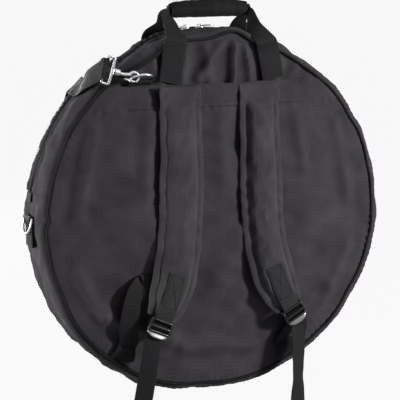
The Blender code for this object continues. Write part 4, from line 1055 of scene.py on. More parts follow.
def make_zip():
    """Zip tapes and cloth stops: each tape's coil half is a half round that swells once in each turn."""
    end = math.radians(ZIP_END_ANGLE)
    half = end - 0.0015
    per_turn = 4
    count = int(2 * half * SIDE_RADIUS / COIL_PITCH) * per_turn
    angle = np.linspace(-half, half, count)[:, None]
    phase = np.arange(count)[:, None] / per_turn
    tape_top = SIDE_RADIUS - SIDE_WALL - CLEARANCE + top_sag(angle)
    turn = np.linspace(0, np.pi, 7)[None, :]
    for name, toward, body in (("zip_back_tape", -1, "bag"), ("zip_front_tape", 1, "lid")):
        swell = 0.82 + 0.18 * np.cos(2 * np.pi * (phase + (0.5 if toward > 0 else 0)))
        coil_y = COIL_GAP + COIL_HALF * (1 - np.cos(turn)) * (0.9 + 0.1 * swell)
        coil_radius = tape_top - 0.0008 + COIL_RISE * np.sin(turn) ** 0.6 * swell
        flat_y = np.broadcast_to([0.0075, 0.0105, TAPE_WIDTH, TAPE_WIDTH, COIL_GAP], (count, 5))
        flat_radius = np.array([0.0, 0.0, 0.0, -TAPE_WALL, -TAPE_WALL]) + tape_top
        y = ZIP_Y + toward * np.hstack((coil_y, flat_y))
        points = round_at(np.hstack((coil_radius, flat_radius)), angle, y)
        piece = surface(f"{name}_coil", points, ZIP_TAPE, wrap=(False, True), caps=True, sharp=75)
        dress(piece, body, [name])
    long = ZIP_STOP_LENGTH / SIDE_RADIUS
    shares = np.array(ZIP_STOP_SHARES)
    for name, start in (("zip_stop_left", -end - long), ("zip_stop_right", end)):
        angles = start + long * (shares if start < 0 else 1 - shares)
        path = round_at(SIDE_RADIUS + 2 * CLEARANCE, angles, ZIP_Y)
        size = (ZIP_STOP_WIDTH, ZIP_STOP_WALL)
        piece = band(f"{name}_tab", path, (0, 1, 0), *size, CLOTH, step=0.0015, ripple=0.0003, seed=4)
        dress(piece, "bag", [name])


def rounded_block(name, place, size, material, power=0.35, rows=14, columns=24):
    """A block with rounded edges: a superellipsoid along its x, with one power or one along and one round."""
    along_power, round_power = power if isinstance(power, tuple) else (power, power)
    along = np.linspace(-np.pi / 2, np.pi / 2, rows)[:, None]
    around = np.linspace(0, 2 * np.pi, columns, endpoint=False)[None, :] + np.pi / columns
    swell = bent(np.cos(along), along_power)
    rounds = [swell * bent(wave(around), round_power) for wave in (np.cos, np.sin)]
    shape = np.stack(np.broadcast_arrays(bent(np.sin(along), along_power), *rounds), axis=-1)
    points = moved(shape * np.asarray(size) / 2, place)
    return surface(name, points, material, wrap=(False, True), poles=(True, True), sharp=75)


def moved(points, place):
    """Points set by a 4 by 4 matrix."""
    matrix = np.array(place)
    return points @ matrix[:3, :3].T + matrix[:3, 3]


def joined(name, pieces):
    """Several closed shells as one piece."""
    first = pieces[0]
    with bpy.context.temp_override(active_object=first, selected_editable_objects=pieces, object=first):
        bpy.ops.object.join()
    first.name = name
    return first


def make_front():
    """Front panel in its sewn lower part and its opening upper part, each with its piping: slack waves."""
    for name, body, seed, middle in (("lower", "bag", 21, -0.06), ("upper", "lid", 22, 0.15)):
        upper = name == "upper"

        def inside(x, height, upper=upper):
            """Within the seam, above or below the line that joins the zip's ends."""
            split = height > ZIP_END_HEIGHT + 0.0002 if upper else height < ZIP_END_HEIGHT - 0.0002
            return (np.hypot(x, height) < SEAM_RADIUS + top_sag(np.arctan2(x, height))) & split

        def outer(x, height, seed=seed):
            """Flat, less waves that fade at the seam, and puckers along it."""
            radius, angle = np.hypot(x, height), np.arctan2(x, height)
            near = SEAM_RADIUS - radius
            relief = FRONT_SINK + slack_waves(x, height, FRONT_WAVES, seed, seed + 5)
            return HALF_DEPTH - relief * smooth_step(near / 0.03) - np.abs(seam_puckers(angle, near, seed))

        def inner(x, _):
            """Flat."""
            return HALF_DEPTH - PANEL_WALL + 0 * x

        corner = math.sqrt(SEAM_RADIUS**2 - ZIP_END_HEIGHT**2)
        corners = ((-corner, ZIP_END_HEIGHT), (corner, ZIP_END_HEIGHT))
        form = (inside, (0, middle), corners, outer, inner)
        piece = plate(f"front_{name}_cloth", *form, CLOTH, rows=80, columns=360)
        dress(piece, body, [f"front_panel_{name}"])
    fold = math.acos(ZIP_END_HEIGHT / SEAM_RADIUS)
    clear = 4 * PIPING_RADIUS / SEAM_RADIUS
    make_piping("front_piping_upper_cord", 1, -fold + clear, fold - clear, "lid", ["front_piping_upper"])
    start, end = fold + clear, 2 * np.pi - fold - clear
    make_piping("front_piping_lower_cord", 1, start, end, "bag", ["front_piping_lower"])


def make_dividers():
    """Two padded dividers in brushed lining, thinner towards their edge."""
    drop, radius = DIVIDER_DROP, DIVIDER_RADIUS
    top = radius * DIVIDER_TOP_SHARE - drop
    for name, side in (("divider_back", -1), ("divider_front", 1)):
        middle = side * DIVIDER_SPACING / 2

        def inside(x, height):
            """Within the divider's circle and under its straight top."""
            return (np.hypot(x, height + drop) < radius) & (height < top)

        def face(toward, x, height, middle=middle):
            """A face of the padded sheet: it thins towards the rim and follows slight waves."""
            near = radius - np.hypot(x, height + drop)
            thin = DIVIDER_WALL / 2 * (0.45 + 0.55 * smooth_step(near / 0.008))
            return middle + toward * thin + slack_waves(x, height, DIVIDER_WAVES, 31)

        corner = math.sqrt(radius**2 - (top + drop) ** 2)
        piece = plate(
            f"{name}_pad",
            inside,
            (0, -0.03),
            ((-corner, top), (corner, top)),
            lambda x, height: face(-1, x, height),
            lambda x, height: face(1, x, height),
            LINING,
            rows=36,
            columns=200,
        )
        dress(piece, "bag", [name])


def pocket_lip(x):
    """Height of the front pocket's mouth, scooped in the middle."""
    return FRONT_POCKET_TOP - FRONT_POCKET_SCOOP * (1 - (x / FRONT_POCKET_RADIUS) ** 2)


def make_front_pocket():
    """Front pocket: a slack face with a bound, scooped mouth on a narrow side wall."""
    radius, wall = FRONT_POCKET_RADIUS, FRONT_POCKET_WALL
    face = HALF_DEPTH + FRONT_POCKET_DEPTH

    def inside(x, height):
        """Within the pocket's circle and under its scooped mouth."""
        return (np.hypot(x, height) < radius) & (height < pocket_lip(x))

    def outer(x, height):
        """Flat, less waves that fade at the edge, and puckers along the seam."""
        near = np.minimum(radius - np.hypot(x, height), pocket_lip(x) - height)
        relief = FRONT_POCKET_SINK + slack_waves(x, height, FRONT_POCKET_WAVES, 41, 42)
        puckers = seam_puckers(np.arctan2(x, height), radius - np.hypot(x, height), 43, count=110)
        return face - relief * smooth_step(near / 0.025) - np.abs(puckers)

    corner = math.sqrt(radius**2 - FRONT_POCKET_TOP**2)
    corners = ((-corner, FRONT_POCKET_TOP), (corner, FRONT_POCKET_TOP))
    piece = plate(
        "front_pocket_face",
        inside,
        (0, -0.09),
        corners,
        outer,
        lambda x, height: outer(x, height) - wall,
        CLOTH,
        rows=80,
        columns=320,
    )
    dress(piece, "bag", ["front_pocket_panel"])

    start = math.acos(FRONT_POCKET_TOP / radius)
    angle = np.linspace(start, 2 * np.pi - start, 300)[:, None]
    low, high = HALF_DEPTH + CLEARANCE, face - wall - CLEARANCE
    turn = np.linspace(0, 1, 16)[None, :]
    y = np.hstack((low + (high - low) * turn, high - (high - low) * turn))
    sag = 0.0016 * np.sin(np.pi * turn) * (0.6 + 0.4 * waves(angle * radius, turn * 0.02, 0.04, 44))
    radii = np.hstack((radius - sag, radius - wall - sag[:, ::-1]))
    piece = surface("front_pocket_side", round_at(radii, angle, y), CLOTH, wrap=(False, True), caps=True)
    dress(piece, "bag", ["front_pocket_gusset"])

    half = radius - 2 * wall
    x = np.linspace(-half, half, 40)
    lift = 3 * CLEARANCE
    path = placed(x, face + lift, pocket_lip(x) - POCKET_BINDING_WIDTH / 2)
    size = (POCKET_BINDING_WIDTH, POCKET_BINDING_WALL)
    piece = band("front_pocket_binding_tape", path, (0, 0, 1), *size, BINDING, step=0.004, ripple=0.0003)
    dress(piece, "bag", ["front_pocket_binding"])
    return [(path + (0, lift, -POCKET_BINDING_WIDTH / 3), (0, 1, 0))]


def handle_path(front, side):
    """One half of a handle's middle line, a point for each place it passes, and its fold there as a share."""
    toward = 1 if front else -1
    foot_x, head_x = LEG_PLACES[side]
    rim = math.sqrt(SEAM_RADIUS**2 - foot_x**2)
    low = rim - FRONT_LEG_LENGTH if front else HEM_HEIGHT + LEG_FOOT_DROP
    shares = np.array([0, 0.3, 0.6, 0.85, 1])
    heights = low + (rim - low) * shares
    lift = 0 if front else back_out(np.hypot(foot_x - WEBBING_WIDTH / 2, heights)) + 0.004
    lift = np.maximum(lift, np.where(shares > 0.8, 2 * PIPING_RADIUS + CLEARANCE, 0))
    lean = (foot_x - head_x) * shares * 0.75
    y = toward * (HALF_DEPTH + lift + 2 * CLEARANCE + WEBBING_WALL / 2)
    points = placed(side * (foot_x - lean), y, heights)
    grip_end = GRIP_LENGTH / 2 + side * GRIP_SHIFT
    top = np.array([side * grip_end, toward * (HANDLE_FOLD_WALL / 2 + CLEARANCE), 0])
    at_grip, at_middle, at_edge, keeps = LEG_LEANS[front, side]
    over = placed(side * (head_x - at_edge), toward * (HALF_DEPTH + LEG_EDGE_OUT), rim + LEG_EDGE_RISE)
    fold = HANDLE_FOLD_WIDTH
    corner = top + (side * (fold * 0.45 - at_grip), toward * fold, -fold)
    near = top + (side * (fold * 0.2 - at_grip / 2), toward * fold * 0.3, -fold * 0.35)
    halfway = (over + corner) / 2 - (side * at_middle, 0, 0)
    points = np.vstack((points, over, halfway, corner, near, top, (side * GRIP_LENGTH / 6, top[1], 0)))
    folded = np.concatenate((0 * shares, (0.12, 0.45 * keeps, 0.75 * keeps, 0.9, 1, 1)))
    return points, folded


def make_handle(name, front, body):
    """A webbing handle: two legs, folded to half width in the grip; the front handle's legs are sewn down
    with a boxed cross.
    """
    toward = 1 if front else -1
    halves, lines = [], []
    for side in (-1, 1):
        points, folded = handle_path(front, side)
        share = folded[:, None]
        across = np.hstack((1 - share, 0 * share, side * share))
        width = WEBBING_WIDTH + (HANDLE_FOLD_WIDTH - WEBBING_WIDTH) * folded
        wall = WEBBING_WALL + (HANDLE_FOLD_WALL - WEBBING_WALL) * folded
        size = (width, wall)
        halves.append(band(f"{name}_half", points, across, *size, WEBBING, ripple=0.0005, seed=51 + side))
        if front:
            up = unit(points[1] - points[0])
            half = np.array([WEBBING_WIDTH / 2 - 0.004, 0, 0])
            low, high = points[0] + up * 0.003, points[0] + up * 0.034
            lift = (0, toward * (WEBBING_WALL / 2 + 0.0004), 0)
            lines += box_cross(low + lift, high + lift, half, (0, toward, 0))
    piece = joined(f"{name}_webbing", halves)
    dress(piece, body, [name])
    return lines


def make_grip():
    """Grip wrap: padded cloth rolled over both handles in a spiral, closed by a flap along its top."""
    around = np.linspace(0, 1, 90)
    angle = np.radians(GRIP_START + GRIP_TURN * around)
    rise = GRIP_WALL + CLEARANCE
    first = GRIP_RADIUS - GRIP_WALL - rise
    radius = first + rise * GRIP_TURN * around / 360
    half = GRIP_LENGTH / 2
    share = np.sin(np.linspace(-np.pi / 2, np.pi / 2, 70))[:, None]
    x = half * share
    belly = GRIP_BELLY * (1 - share**2) - 0.0016 * np.abs(share) ** 12
    edge = smooth_step((1 - around) / 0.03) * smooth_step(around / 0.03)
    thinned = GRIP_WALL * 0.5 * (1 - edge)
    outer = radius + GRIP_WALL + belly + 0.0005 * waves(x, angle[None, :] * GRIP_RADIUS, 0.018, 61) - thinned
    inner = radius + thinned + 0 * x
    radii = np.hstack((outer, inner[:, ::-1]))
    turns = np.concatenate((angle, angle[::-1])) + 0.03 * share * np.concatenate((around, around[::-1]))
    drop = GRIP_DROP * share**2 + 0.0004
    y, z = np.cos(turns) * radii, np.sin(turns) * radii - drop
    points = np.stack(np.broadcast_arrays(x + GRIP_SHIFT, y, z), axis=-1)
    piece = surface("grip_wrap_padded", points, GRIP_CLOTH, wrap=(False, True), caps=True)
    dress(piece, "bag", ["grip_wrap"])
    seam_angle = angle[-1] - 0.22
    out = np.array([0, math.cos(seam_angle), math.sin(seam_angle)])
    spots = np.linspace(-half + 0.004, half - 0.004, 40)[:, None] + GRIP_SHIFT
    return [(spots * (1, 0, 0) + out * (GRIP_RADIUS + 0.0014), out)]


def d_ring(name, bar, along, reach_way, body, nodes):
    """A bent D-ring about its bar: a half circle on two short legs, closed by a straight bar."""
    reach = RING_REACH - RING_ARM
    bend = np.linspace(0, np.pi, 25)
    flat = np.stack((RING_ARM * np.cos(bend), reach + RING_ARM * np.sin(bend)), axis=1)
    straight = np.stack((RING_ARM * np.linspace(-0.93, 0.93, 9), np.zeros(9)), axis=1)
    outline = np.vstack((straight, flat))
    along, reach_way = np.asarray(along, float), np.asarray(reach_way, float)
    path = bar + outline[:, :1] * along + outline[:, 1:] * reach_way
    normal = np.cross(along, reach_way)
    piece = tube(name, path, RING_WIRE, CHROME, normal, sides=18, closed=True)
    return dress(piece, body, nodes)


def ring_tab(name, bar, along, down, out, length, nodes):
    """A webbing tab folded round a D-ring's bar and stitched through both layers below it."""
    turn_radius = RING_WIRE + CLEARANCE + TAB_WALL / 2
    layer = TAB_WALL + CLEARANCE
    join = min(2 * turn_radius, length * 0.6)
    bend = np.linspace(0, np.pi, 9)[:, None]
    path = np.vstack(
        (
            bar + down * length - out * turn_radius,
            bar + down * join - out * turn_radius,
            bar - out * turn_radius * np.cos(bend) - down * turn_radius * np.sin(bend),
            bar + down * (join * 0.5) + out * (turn_radius * 0.82),
            bar + down * join - out * (turn_radius - layer - RING_WIRE * 0.3),
            bar + down * (join + RING_WIRE) - out * (turn_radius - layer),
            bar + down * length - out * (turn_radius - layer),
        )
    )
    width = TAB_WIDTH if length > TAB_WIDTH / 2 else HEM_TAB_WIDTH
    piece = band(name, path, along, width, TAB_WALL, WEBBING, step=0.0015, ripple=0.0002, seed=71)
    dress(piece, "bag", nodes)
    return -out * (turn_radius - layer - TAB_WALL / 2 - CLEARANCE)


def make_rings():
    """D-rings with their tabs: on the stow pocket's hem and on both sides."""
    tab_base = RING_WIRE + CLEARANCE + TAB_WALL
    height = HEM_HEIGHT + HEM_RING_LIFT
    edge = math.hypot(abs(HEM_RING_X) - TAB_WIDTH / 2, HEM_HEIGHT)
    bar = placed(HEM_RING_X, -HALF_DEPTH - float(back_out(edge)) - tab_base - 2 * CLEARANCE, height)
    out, down, across = np.array([0, -1.0, 0]), np.array([0, 0, -1.0]), np.array([1.0, 0, 0])
    tilt = math.radians(HEM_RING_TILT)
    bow = np.array([0, -math.sin(tilt), math.cos(tilt)])
    d_ring("hem_dring_wire", bar, across, bow, "hem_ring", ["dring_hem"])
    ring_tab("hem_dring_tab", bar, across, down, out, HEM_RING_LIFT - 2 * CLEARANCE, ["dring_hem_tab"])
    places, lines = {"hem": (bar, bow)}, []
    sides = ("left", -1, LEFT_RING_TILT, 0), ("right", 1, RIGHT_RING_TILT, RIGHT_RING_Y)
    for name, side, degrees, y in sides:
        out = np.array([side, 0.0, 0])
        bar = placed(side * (SIDE_RADIUS + CLEARANCE + tab_base), y, SIDE_RING_HEIGHT)
        tilt = math.radians(degrees)
        bow = np.array([side * math.sin(tilt), 0, -math.cos(tilt)])
        depth = np.array([0, 1.0, 0])
        d_ring(f"{name}_dring_wire", bar, depth, bow, f"{name}_ring", [f"dring_{name}"])
        lift = ring_tab(f"{name}_dring_tab", bar, depth, down, out, SIDE_TAB_LENGTH, [f"dring_{name}_tab"])
        low, high = bar + down * (SIDE_TAB_LENGTH - 0.003), bar + down * (SIDE_TAB_LENGTH - 0.026)
        lines += box_cross(low + lift, high + lift, depth * (TAB_WIDTH / 2 - 0.003), out)
        places[name] = (bar, bow)
    return places, lines


def turn_from_top(degrees):
    """The place of something made at the bag's top and turned round its axis."""
    return Matrix.Translation((0, 0, -GRIP_RISE)) @ Matrix.Rotation(math.radians(degrees), 4, "Y")


def make_slider(side, degrees, toward):
    """A zip slider: two rounded plates, a waist, a bridge, and a wire pull with a drop-shaped end."""
    top = SIDE_RADIUS - 0.0012 + SLIDER_HEIGHT
    place = turn_from_top(degrees)
    parts = []
    for low, high, wide, long in SLIDER_PLATES:
        middle = Matrix.Translation((0, ZIP_Y, top - SLIDER_HEIGHT + (low + high) / 2))
        size = (SLIDER_LENGTH * long, wide, high - low + 0.0006)
        look = (CHROME, 0.5)
        parts.append(rounded_block("slider_part", place @ middle, size, *look, rows=10, columns=28))
    arch = np.linspace(0, np.pi, 13)
    rise = top - BRIDGE_WIRE + BRIDGE_RADIUS * np.sin(arch)
    bow = np.stack((BRIDGE_RADIUS * np.cos(arch), 0 * arch + ZIP_Y, rise), axis=1)
    parts.append(tube("slider_bridge", moved(bow, place), BRIDGE_WIRE, CHROME, (0, 1, 0), sides=10))
    dress(joined(f"{side}_slider_body", parts), f"{side}_slider", [f"slider_{side}"])

    hinge = top + PULL_WIRE + CLEARANCE
    half = PULL_WIDTH / 2
    run = PULL_LENGTH - half
    bend = np.linspace(-np.pi / 2, np.pi / 2, 13)
    near = np.stack((half * 0.8 * (1 - np.cos(bend)), -half * np.sin(bend)), axis=1)
    far = np.stack((run + half * np.cos(bend), half * np.sin(bend)), axis=1)
    outline = np.vstack((near, far))
    path = np.stack((toward * outline[:, 0], ZIP_Y + outline[:, 1], 0 * outline[:, 0] + hinge), axis=1)
    up = np.array(place.to_3x3() @ Vector((0, 0, 1)))
    parts = [tube("pull_wire", moved(path, place), PULL_WIRE, CHROME, up, sides=12, closed=True)]
    drop_place = place @ Matrix.Translation((toward * (run - 0.001), ZIP_Y, hinge))
    size = (PULL_DROP_LENGTH, PULL_WIDTH * 0.8, PULL_DROP_WALL)
    parts.append(rounded_block("pull_plate", drop_place, size, CHROME, power=0.6, rows=8, columns=24))
    dress(joined(f"{side}_pull_wire", parts), f"{side}_pull", [f"pull_{side}"])


def strap_stations(side):
    """Centre line, widths and thicknesses of a backpack strap below its tongue."""
    drop, sway, width, stand, wall = STRAP_SHARES.T
    x = side * (STRAP_X + STRAP_SWAY[side] * sway)
    path = placed(x, -HALF_DEPTH - STRAP_STAND * stand, HEM_HEIGHT - STRAP_LENGTH * drop)
    return path, STRAP_WIDTH * width, STRAP_WALL * wall


def strap_run(side):
    """The whole strap: its end turned in and sewn on the hem, then the padded stations."""
    path, width, wall = strap_stations(side)
    stand = STRAP_STAND * STRAP_SHARES[0, 3]
    thin = STRAP_WALL * 0.3
    outs = stand - STRAP_WALL * np.array([0.5, 0.42, 0.25])
    heights = HEM_HEIGHT - np.array([0.010, 0.0045, 0.0035])
    root = placed(side * STRAP_X, -HALF_DEPTH - outs, heights)
    return (
        np.vstack((root, path)),
        np.concatenate((np.full(3, width[0]), width)),
        np.concatenate((np.full(3, thin), wall)),
    )


def along_strap(side, share):
    """A place at a share of the stations' run, with the ways ahead, across and out and the run's length."""
    path, _, _ = strap_stations(side)
    pieces = np.linalg.norm(np.diff(path, axis=0), axis=1)
    run = np.concatenate(([0], np.cumsum(pieces)))
    i = min(int(np.searchsorted(run, run[-1] * share)), len(path) - 1) or 1
    part = (run[-1] * share - run[i - 1]) / pieces[i - 1]
    ahead = unit(path[i] - path[i - 1])
    across = unit(np.array([1.0, 0, 0]) - ahead * ahead[0])
    out = unit(np.cross(across, ahead))
    out = -out if out[1] > 0 else out
    return path[i - 1] + (path[i] - path[i - 1]) * part, ahead, across, out, run[-1]


# Lengths on a strap's pad: spacing of its rows, its sewn tongue, the seams' inset, how far its edges bow back
STRAP_STEP = 0.003
TONGUE_LENGTH = 0.030
STITCH_INSET = 0.0105
STRAP_BOW = 0.0055
# Cloth simulation of a padded piece: its steps, the foam's push, how slack its cover is cut, one point's
# mass, and how far a point may move
PADDING_STEPS = 14
PADDING_PUSH = 4.5
PADDING_SLACK_SHARE = 0.004
PADDING_MASS = 0.004
PADDING_REACH = 0.005


def pad_out(piece, held, reach):
    """Let Cloth blow the piece up against its seams: held points stay, the others move up to their reach."""
    mesh = piece.data
    held = np.append(held.ravel(), np.ones(len(mesh.vertices) - held.size, bool))
    reach = np.append(reach.ravel(), np.zeros(len(held) - reach.size))
    seams = piece.vertex_groups.new(name="seams")
    seams.add(np.nonzero(held)[0].tolist(), 1.0, "REPLACE")
    padding = piece.modifiers.new("padding", "CLOTH")
    settings = padding.settings
    settings.vertex_group_mass = "seams"
    settings.mass = PADDING_MASS
    settings.use_pressure = True
    settings.uniform_pressure_force = PADDING_PUSH
    settings.shrink_min = -PADDING_SLACK_SHARE
    settings.effector_weights.gravity = 0
    padding.point_cache.frame_end = PADDING_STEPS
    flat, blown = np.empty(held.size * 3), np.empty(held.size * 3)
    mesh.vertices.foreach_get("co", flat)
    for step in range(1, PADDING_STEPS + 1):
        bpy.context.scene.frame_set(step)
    piece.evaluated_get(bpy.context.evaluated_depsgraph_get()).data.vertices.foreach_get("co", blown)
    piece.modifiers.remove(padding)
    piece.vertex_groups.remove(seams)
    bpy.context.scene.frame_set(1)
    moves = (blown - flat).reshape(-1, 3)
    length = np.linalg.norm(moves, axis=1)
    share = np.minimum(1, reach / np.maximum(length, 1e-9))
    mesh.vertices.foreach_set("co", (flat.reshape(-1, 3) + moves * share[:, None]).ravel())
    mesh.update()


def make_strap_pad(name, side):
    """The padded strap: two cloths over foam, bound round the edge and stitched inside the binding.

    The face stands half the wall out between the seams and thins to the binding outside them, to the
    tongue and to the end. A groove lies along the seams, and waves crumple what isn't sewn.
    """
    path, width, wall = strap_run(side)
    fine = resampled(np.hstack((path, width[:, None], wall[:, None])), STRAP_STEP)
    line, width, wall = fine[:, :3], fine[:, 3:4], fine[:, 4:5]
    _, across, out = frames(line, np.array([1.0, 0, 0]))
    run = (np.arange(len(line)) * STRAP_STEP)[:, None]
    v = np.sin(np.linspace(-np.pi / 2, np.pi / 2, 49))[None, :]
    from_edge = (1 - np.abs(v)) * width / 2
    tongue = smooth_step((run - TONGUE_LENGTH) / 0.02)
    to_end = run[-1] - run
    end = smooth_step(to_end / 0.02)
    pad = smooth_step((from_edge - STITCH_INSET) / 0.009) * tongue * end
    groove = bell(from_edge - STITCH_INSET, 0.0018) * tongue
    rim = smooth_step(from_edge / 0.0016) ** 0.5
    half = rim * 0.0016 + pad * (wall / 2 + 0.0016) - groove * 0.0012
    half = np.where(tongue < 1, np.minimum(half, rim * wall / 2 * (0.35 + 0.65 * tongue) + pad * 0.002), half)
    crumple = slack_waves(run, v * width, STRAP_WAVES, 81 + side, 85)
    edge_wave = 0.0012 * (1 - pad) * np.sin(run * 190 + 3 * np.sin(run * 31) + side)
    edge_wave = edge_wave * smooth_step((0.014 - from_edge) / 0.008)
    bow = -STRAP_BOW * v**2 * tongue
    sewn = smooth_step((PATCH_LENGTH + 0.006 - to_end) / 0.006)
    sewn = sewn * smooth_step((STRAP_WEBBING_WIDTH / 2 + 0.004 - np.abs(v * width / 2)) / 0.004)
    crumple = pad * crumple * (1 - sewn)
    half = half - 0.0012 * sewn
    faces = {1: half + crumple + edge_wave + bow, -1: -half + 0.6 * crumple + edge_wave + bow}
    heights = np.hstack((faces[1], faces[-1][:, -2:0:-1]))
    vs = np.hstack((v, v[:, -2:0:-1]))
    away = out if out[len(out) // 2, 1] < 0 else -out
    aside = vs * width / 2
    points = line[:, None] + across[:, None] * aside[..., None] + away[:, None] * heights[..., None]
    uv = np.stack(np.broadcast_arrays(run, aside), axis=-1)
    piece = surface(f"strap_{name}_pad", points, STRAP_CLOTH, wrap=(False, True), caps=True, uv=uv)
    inside = (1 - np.abs(vs)) * width / 2 - STITCH_INSET
    ends = np.minimum(run - TONGUE_LENGTH, to_end - 0.012) + 0 * vs
    front_face = np.concatenate((np.ones(v.size), np.zeros(v.size - 2))) + 0 * inside
    reach = PADDING_REACH * (0.35 + 0.65 * front_face) * smooth_step(inside / 0.006)
    sewn = np.hstack((sewn, sewn[:, -2:0:-1])) * front_face
    pad_out(piece, (inside < 0.0005) | (ends < 0) | (sewn > 0.5), reach * smooth_step(ends / 0.02))
    dress(piece, f"{name}_strap", [f"strap_{name}"])
    lines = []
    # The seams' stitches leave the tongue and the end by the lock free
    keep = slice(14, -7)
    from_seam = np.abs(from_edge[len(line) // 2] - STITCH_INSET)
    for edge_side in (-1, 1):
        column = int(np.argmin(from_seam + (v[0] * edge_side < 0)))
        seam = line + across * (v[0, column] * width / 2)
        for face, height in faces.items():
            spots = seam + away * (height[:, column, None] + face * 0.0003)
            lines.append((spots[keep], (face * away)[keep]))
    return lines


def make_lock(name, side):
    """Ladder lock: two rounded rails and five bars of glossy acetal, with a half-moon tab to lift it.

    The tab's half width falls along it as the root of 1 less a power of the share, and it bends out.
    """
    end, ahead, across, out, _ = along_strap(side, 1)
    matrix = Matrix.Translation(Vector(end)) @ Matrix((across, ahead, out)).transposed().to_4x4()
    rail = (LOCK_WIDTH - STRAP_WEBBING_WIDTH - 0.001) / 2
    span = LAST_BAR_START - LOCK_START
    middle = LOCK_START + (span + 0.002) / 2
    size = (rail + 0.001, span + 0.005, LOCK_WALL + 0.0065)
    parts = []
    for sx in (-1, 1):
        place = matrix @ Matrix.Translation((sx * (LOCK_WIDTH - rail) / 2, middle, 0))
        parts.append(rounded_block("rail", place, size, ACETAL, 0.55))
    bars = (
        (LOCK_START + LOCK_TOP_BAR / 2, LOCK_TOP_BAR + 0.001, 0.0),
        (MIDDLE_BAR_START + LOCK_MIDDLE_BAR / 2, LOCK_MIDDLE_BAR, 0.0),
        (LOCK_START + LOCK_TOP_BAR / 2, LOCK_TOP_BAR + 0.0006, LOCK_FRONT_BAR),
        (MIDDLE_BAR_START + 0.001, LOCK_MIDDLE_BAR - 0.0006, LOCK_FRONT_BAR + 0.0004),
        (LAST_BAR_START + 0.0005, LOCK_MIDDLE_BAR, LOCK_FRONT_BAR - 0.001),
    )
    for middle, long, lift in bars:
        place = matrix @ Matrix.Translation((0, middle, lift))
        size = (LOCK_WIDTH - 0.003, long, LOCK_BAR_WALL)
        parts.append(rounded_block("bar", place, size, ACETAL, (0.3, 1.0), rows=20, columns=28))
    rows = np.linspace(-1, 1, 17)[:, None]
    around = np.linspace(0, 2 * np.pi, 28, endpoint=False)[None, :]
    share = (rows + 1) / 2
    half = LOCK_WIDTH / 2 * TAB_WIDTH_SHARE * np.sqrt(np.maximum(0.05, 1 - share**2.6))
    lip = (LOCK_WALL / 2 + 0.0003) * np.sqrt(np.maximum(0.02, 1 - np.abs(rows) ** 6)) * (1 - 0.25 * share)
    reach = LAST_BAR_START - 0.001 + (LOCK_TAB + TAB_LIP) * share
    height = bent(np.sin(around), 0.6) * lip + TAB_BEND * share**1.3
    shape = np.stack(np.broadcast_arrays(bent(np.cos(around), 0.3) * half, reach, height), axis=-1)
    tab = surface("tab", moved(shape, matrix), POLISHED_ACETAL, wrap=(False, True), caps=True, sharp=75)
    parts.append(tab)
    dress(joined(f"ladder_lock_{name}_acetal", parts), f"{name}_lock", [f"ladder_lock_{name}"])


# The strap's webbing: its thickness, its section, and how far from the lock's middle it lies round a bar
WEB = STRAP_WEBBING_WALL
WEB_SIZE = (STRAP_WEBBING_WIDTH, WEB)
OVER_BAR = LOCK_WALL / 2 + 2 * CLEARANCE + WEB / 2
UNDER_BAR = -OVER_BAR - CLEARANCE


def lock_places(side, places):
    """Places on a strap's ladder lock, from how far down it and how far out of its middle each lies."""
    end, ahead, _, out, _ = along_strap(side, 1)
    return [end + ahead * down + out * lift for down, lift in places]


def make_patch(name, side):
    """Sewn patch that holds the lock: down the strap's face, round the lock's top bar and back under it."""
    _, _, across, out, length = along_strap(side, 1)
    spots, normals = [], []
    for share in (1, 0.6, 0.25):
        point, _, _, normal, _ = along_strap(side, 1 - PATCH_LENGTH / length * share)
        spots.append(point + normal * (STRAP_WALL / 2 + PATCH_LIFT + WEB / 2))
        normals.append(normal)
    patch = spots + lock_places(
        side,
        (
            (-LOCK_START, STRAP_WALL * 0.5),
            (FIRST_BAR_END - LOCK_TOP_BAR / 2, OVER_BAR + CLEARANCE),
            (FIRST_BAR_END + WEB * 0.75, OVER_BAR * 0.75),
            (FIRST_BAR_END + WEB * 1.05, 0),
            (FIRST_BAR_END + WEB * 0.75, -OVER_BAR * 0.75),
            (FIRST_BAR_END - LOCK_TOP_BAR / 2, UNDER_BAR),
            (0, UNDER_BAR),
        ),
    )
    woven = {"step": 0.002, "ripple": 0.0002, "seed": 91, "count": 26}
    piece = band(f"strap_{name}_patch_webbing", patch, across, *WEB_SIZE, PATCH_WEBBING, **woven)
    dress(piece, f"{name}_strap", [f"strap_{name}_patch"])
    half = STRAP_WEBBING_WIDTH / 2 - 0.0035
    run = resampled(np.hstack((np.vstack((spots, patch[3])), np.vstack((normals, out)))), count=60)[3:46]
    steps = np.linspace(0, len(run) - 1, 12).astype(int)
    share = np.linspace(-half, half, 12)[:, None]
    edge = np.full((12, 1), half)
    rows = [(steps, aside) for aside in (share, -share, edge, -edge)]
    rows += [(steps * 0, share), (steps * 0 - 1, share)]
    lines = []
    for at, aside in rows:
        lines.append((run[at, :3] + across * aside + run[at, 3:] * (WEB / 2 + 0.0005), run[at, 3:]))
    return lines


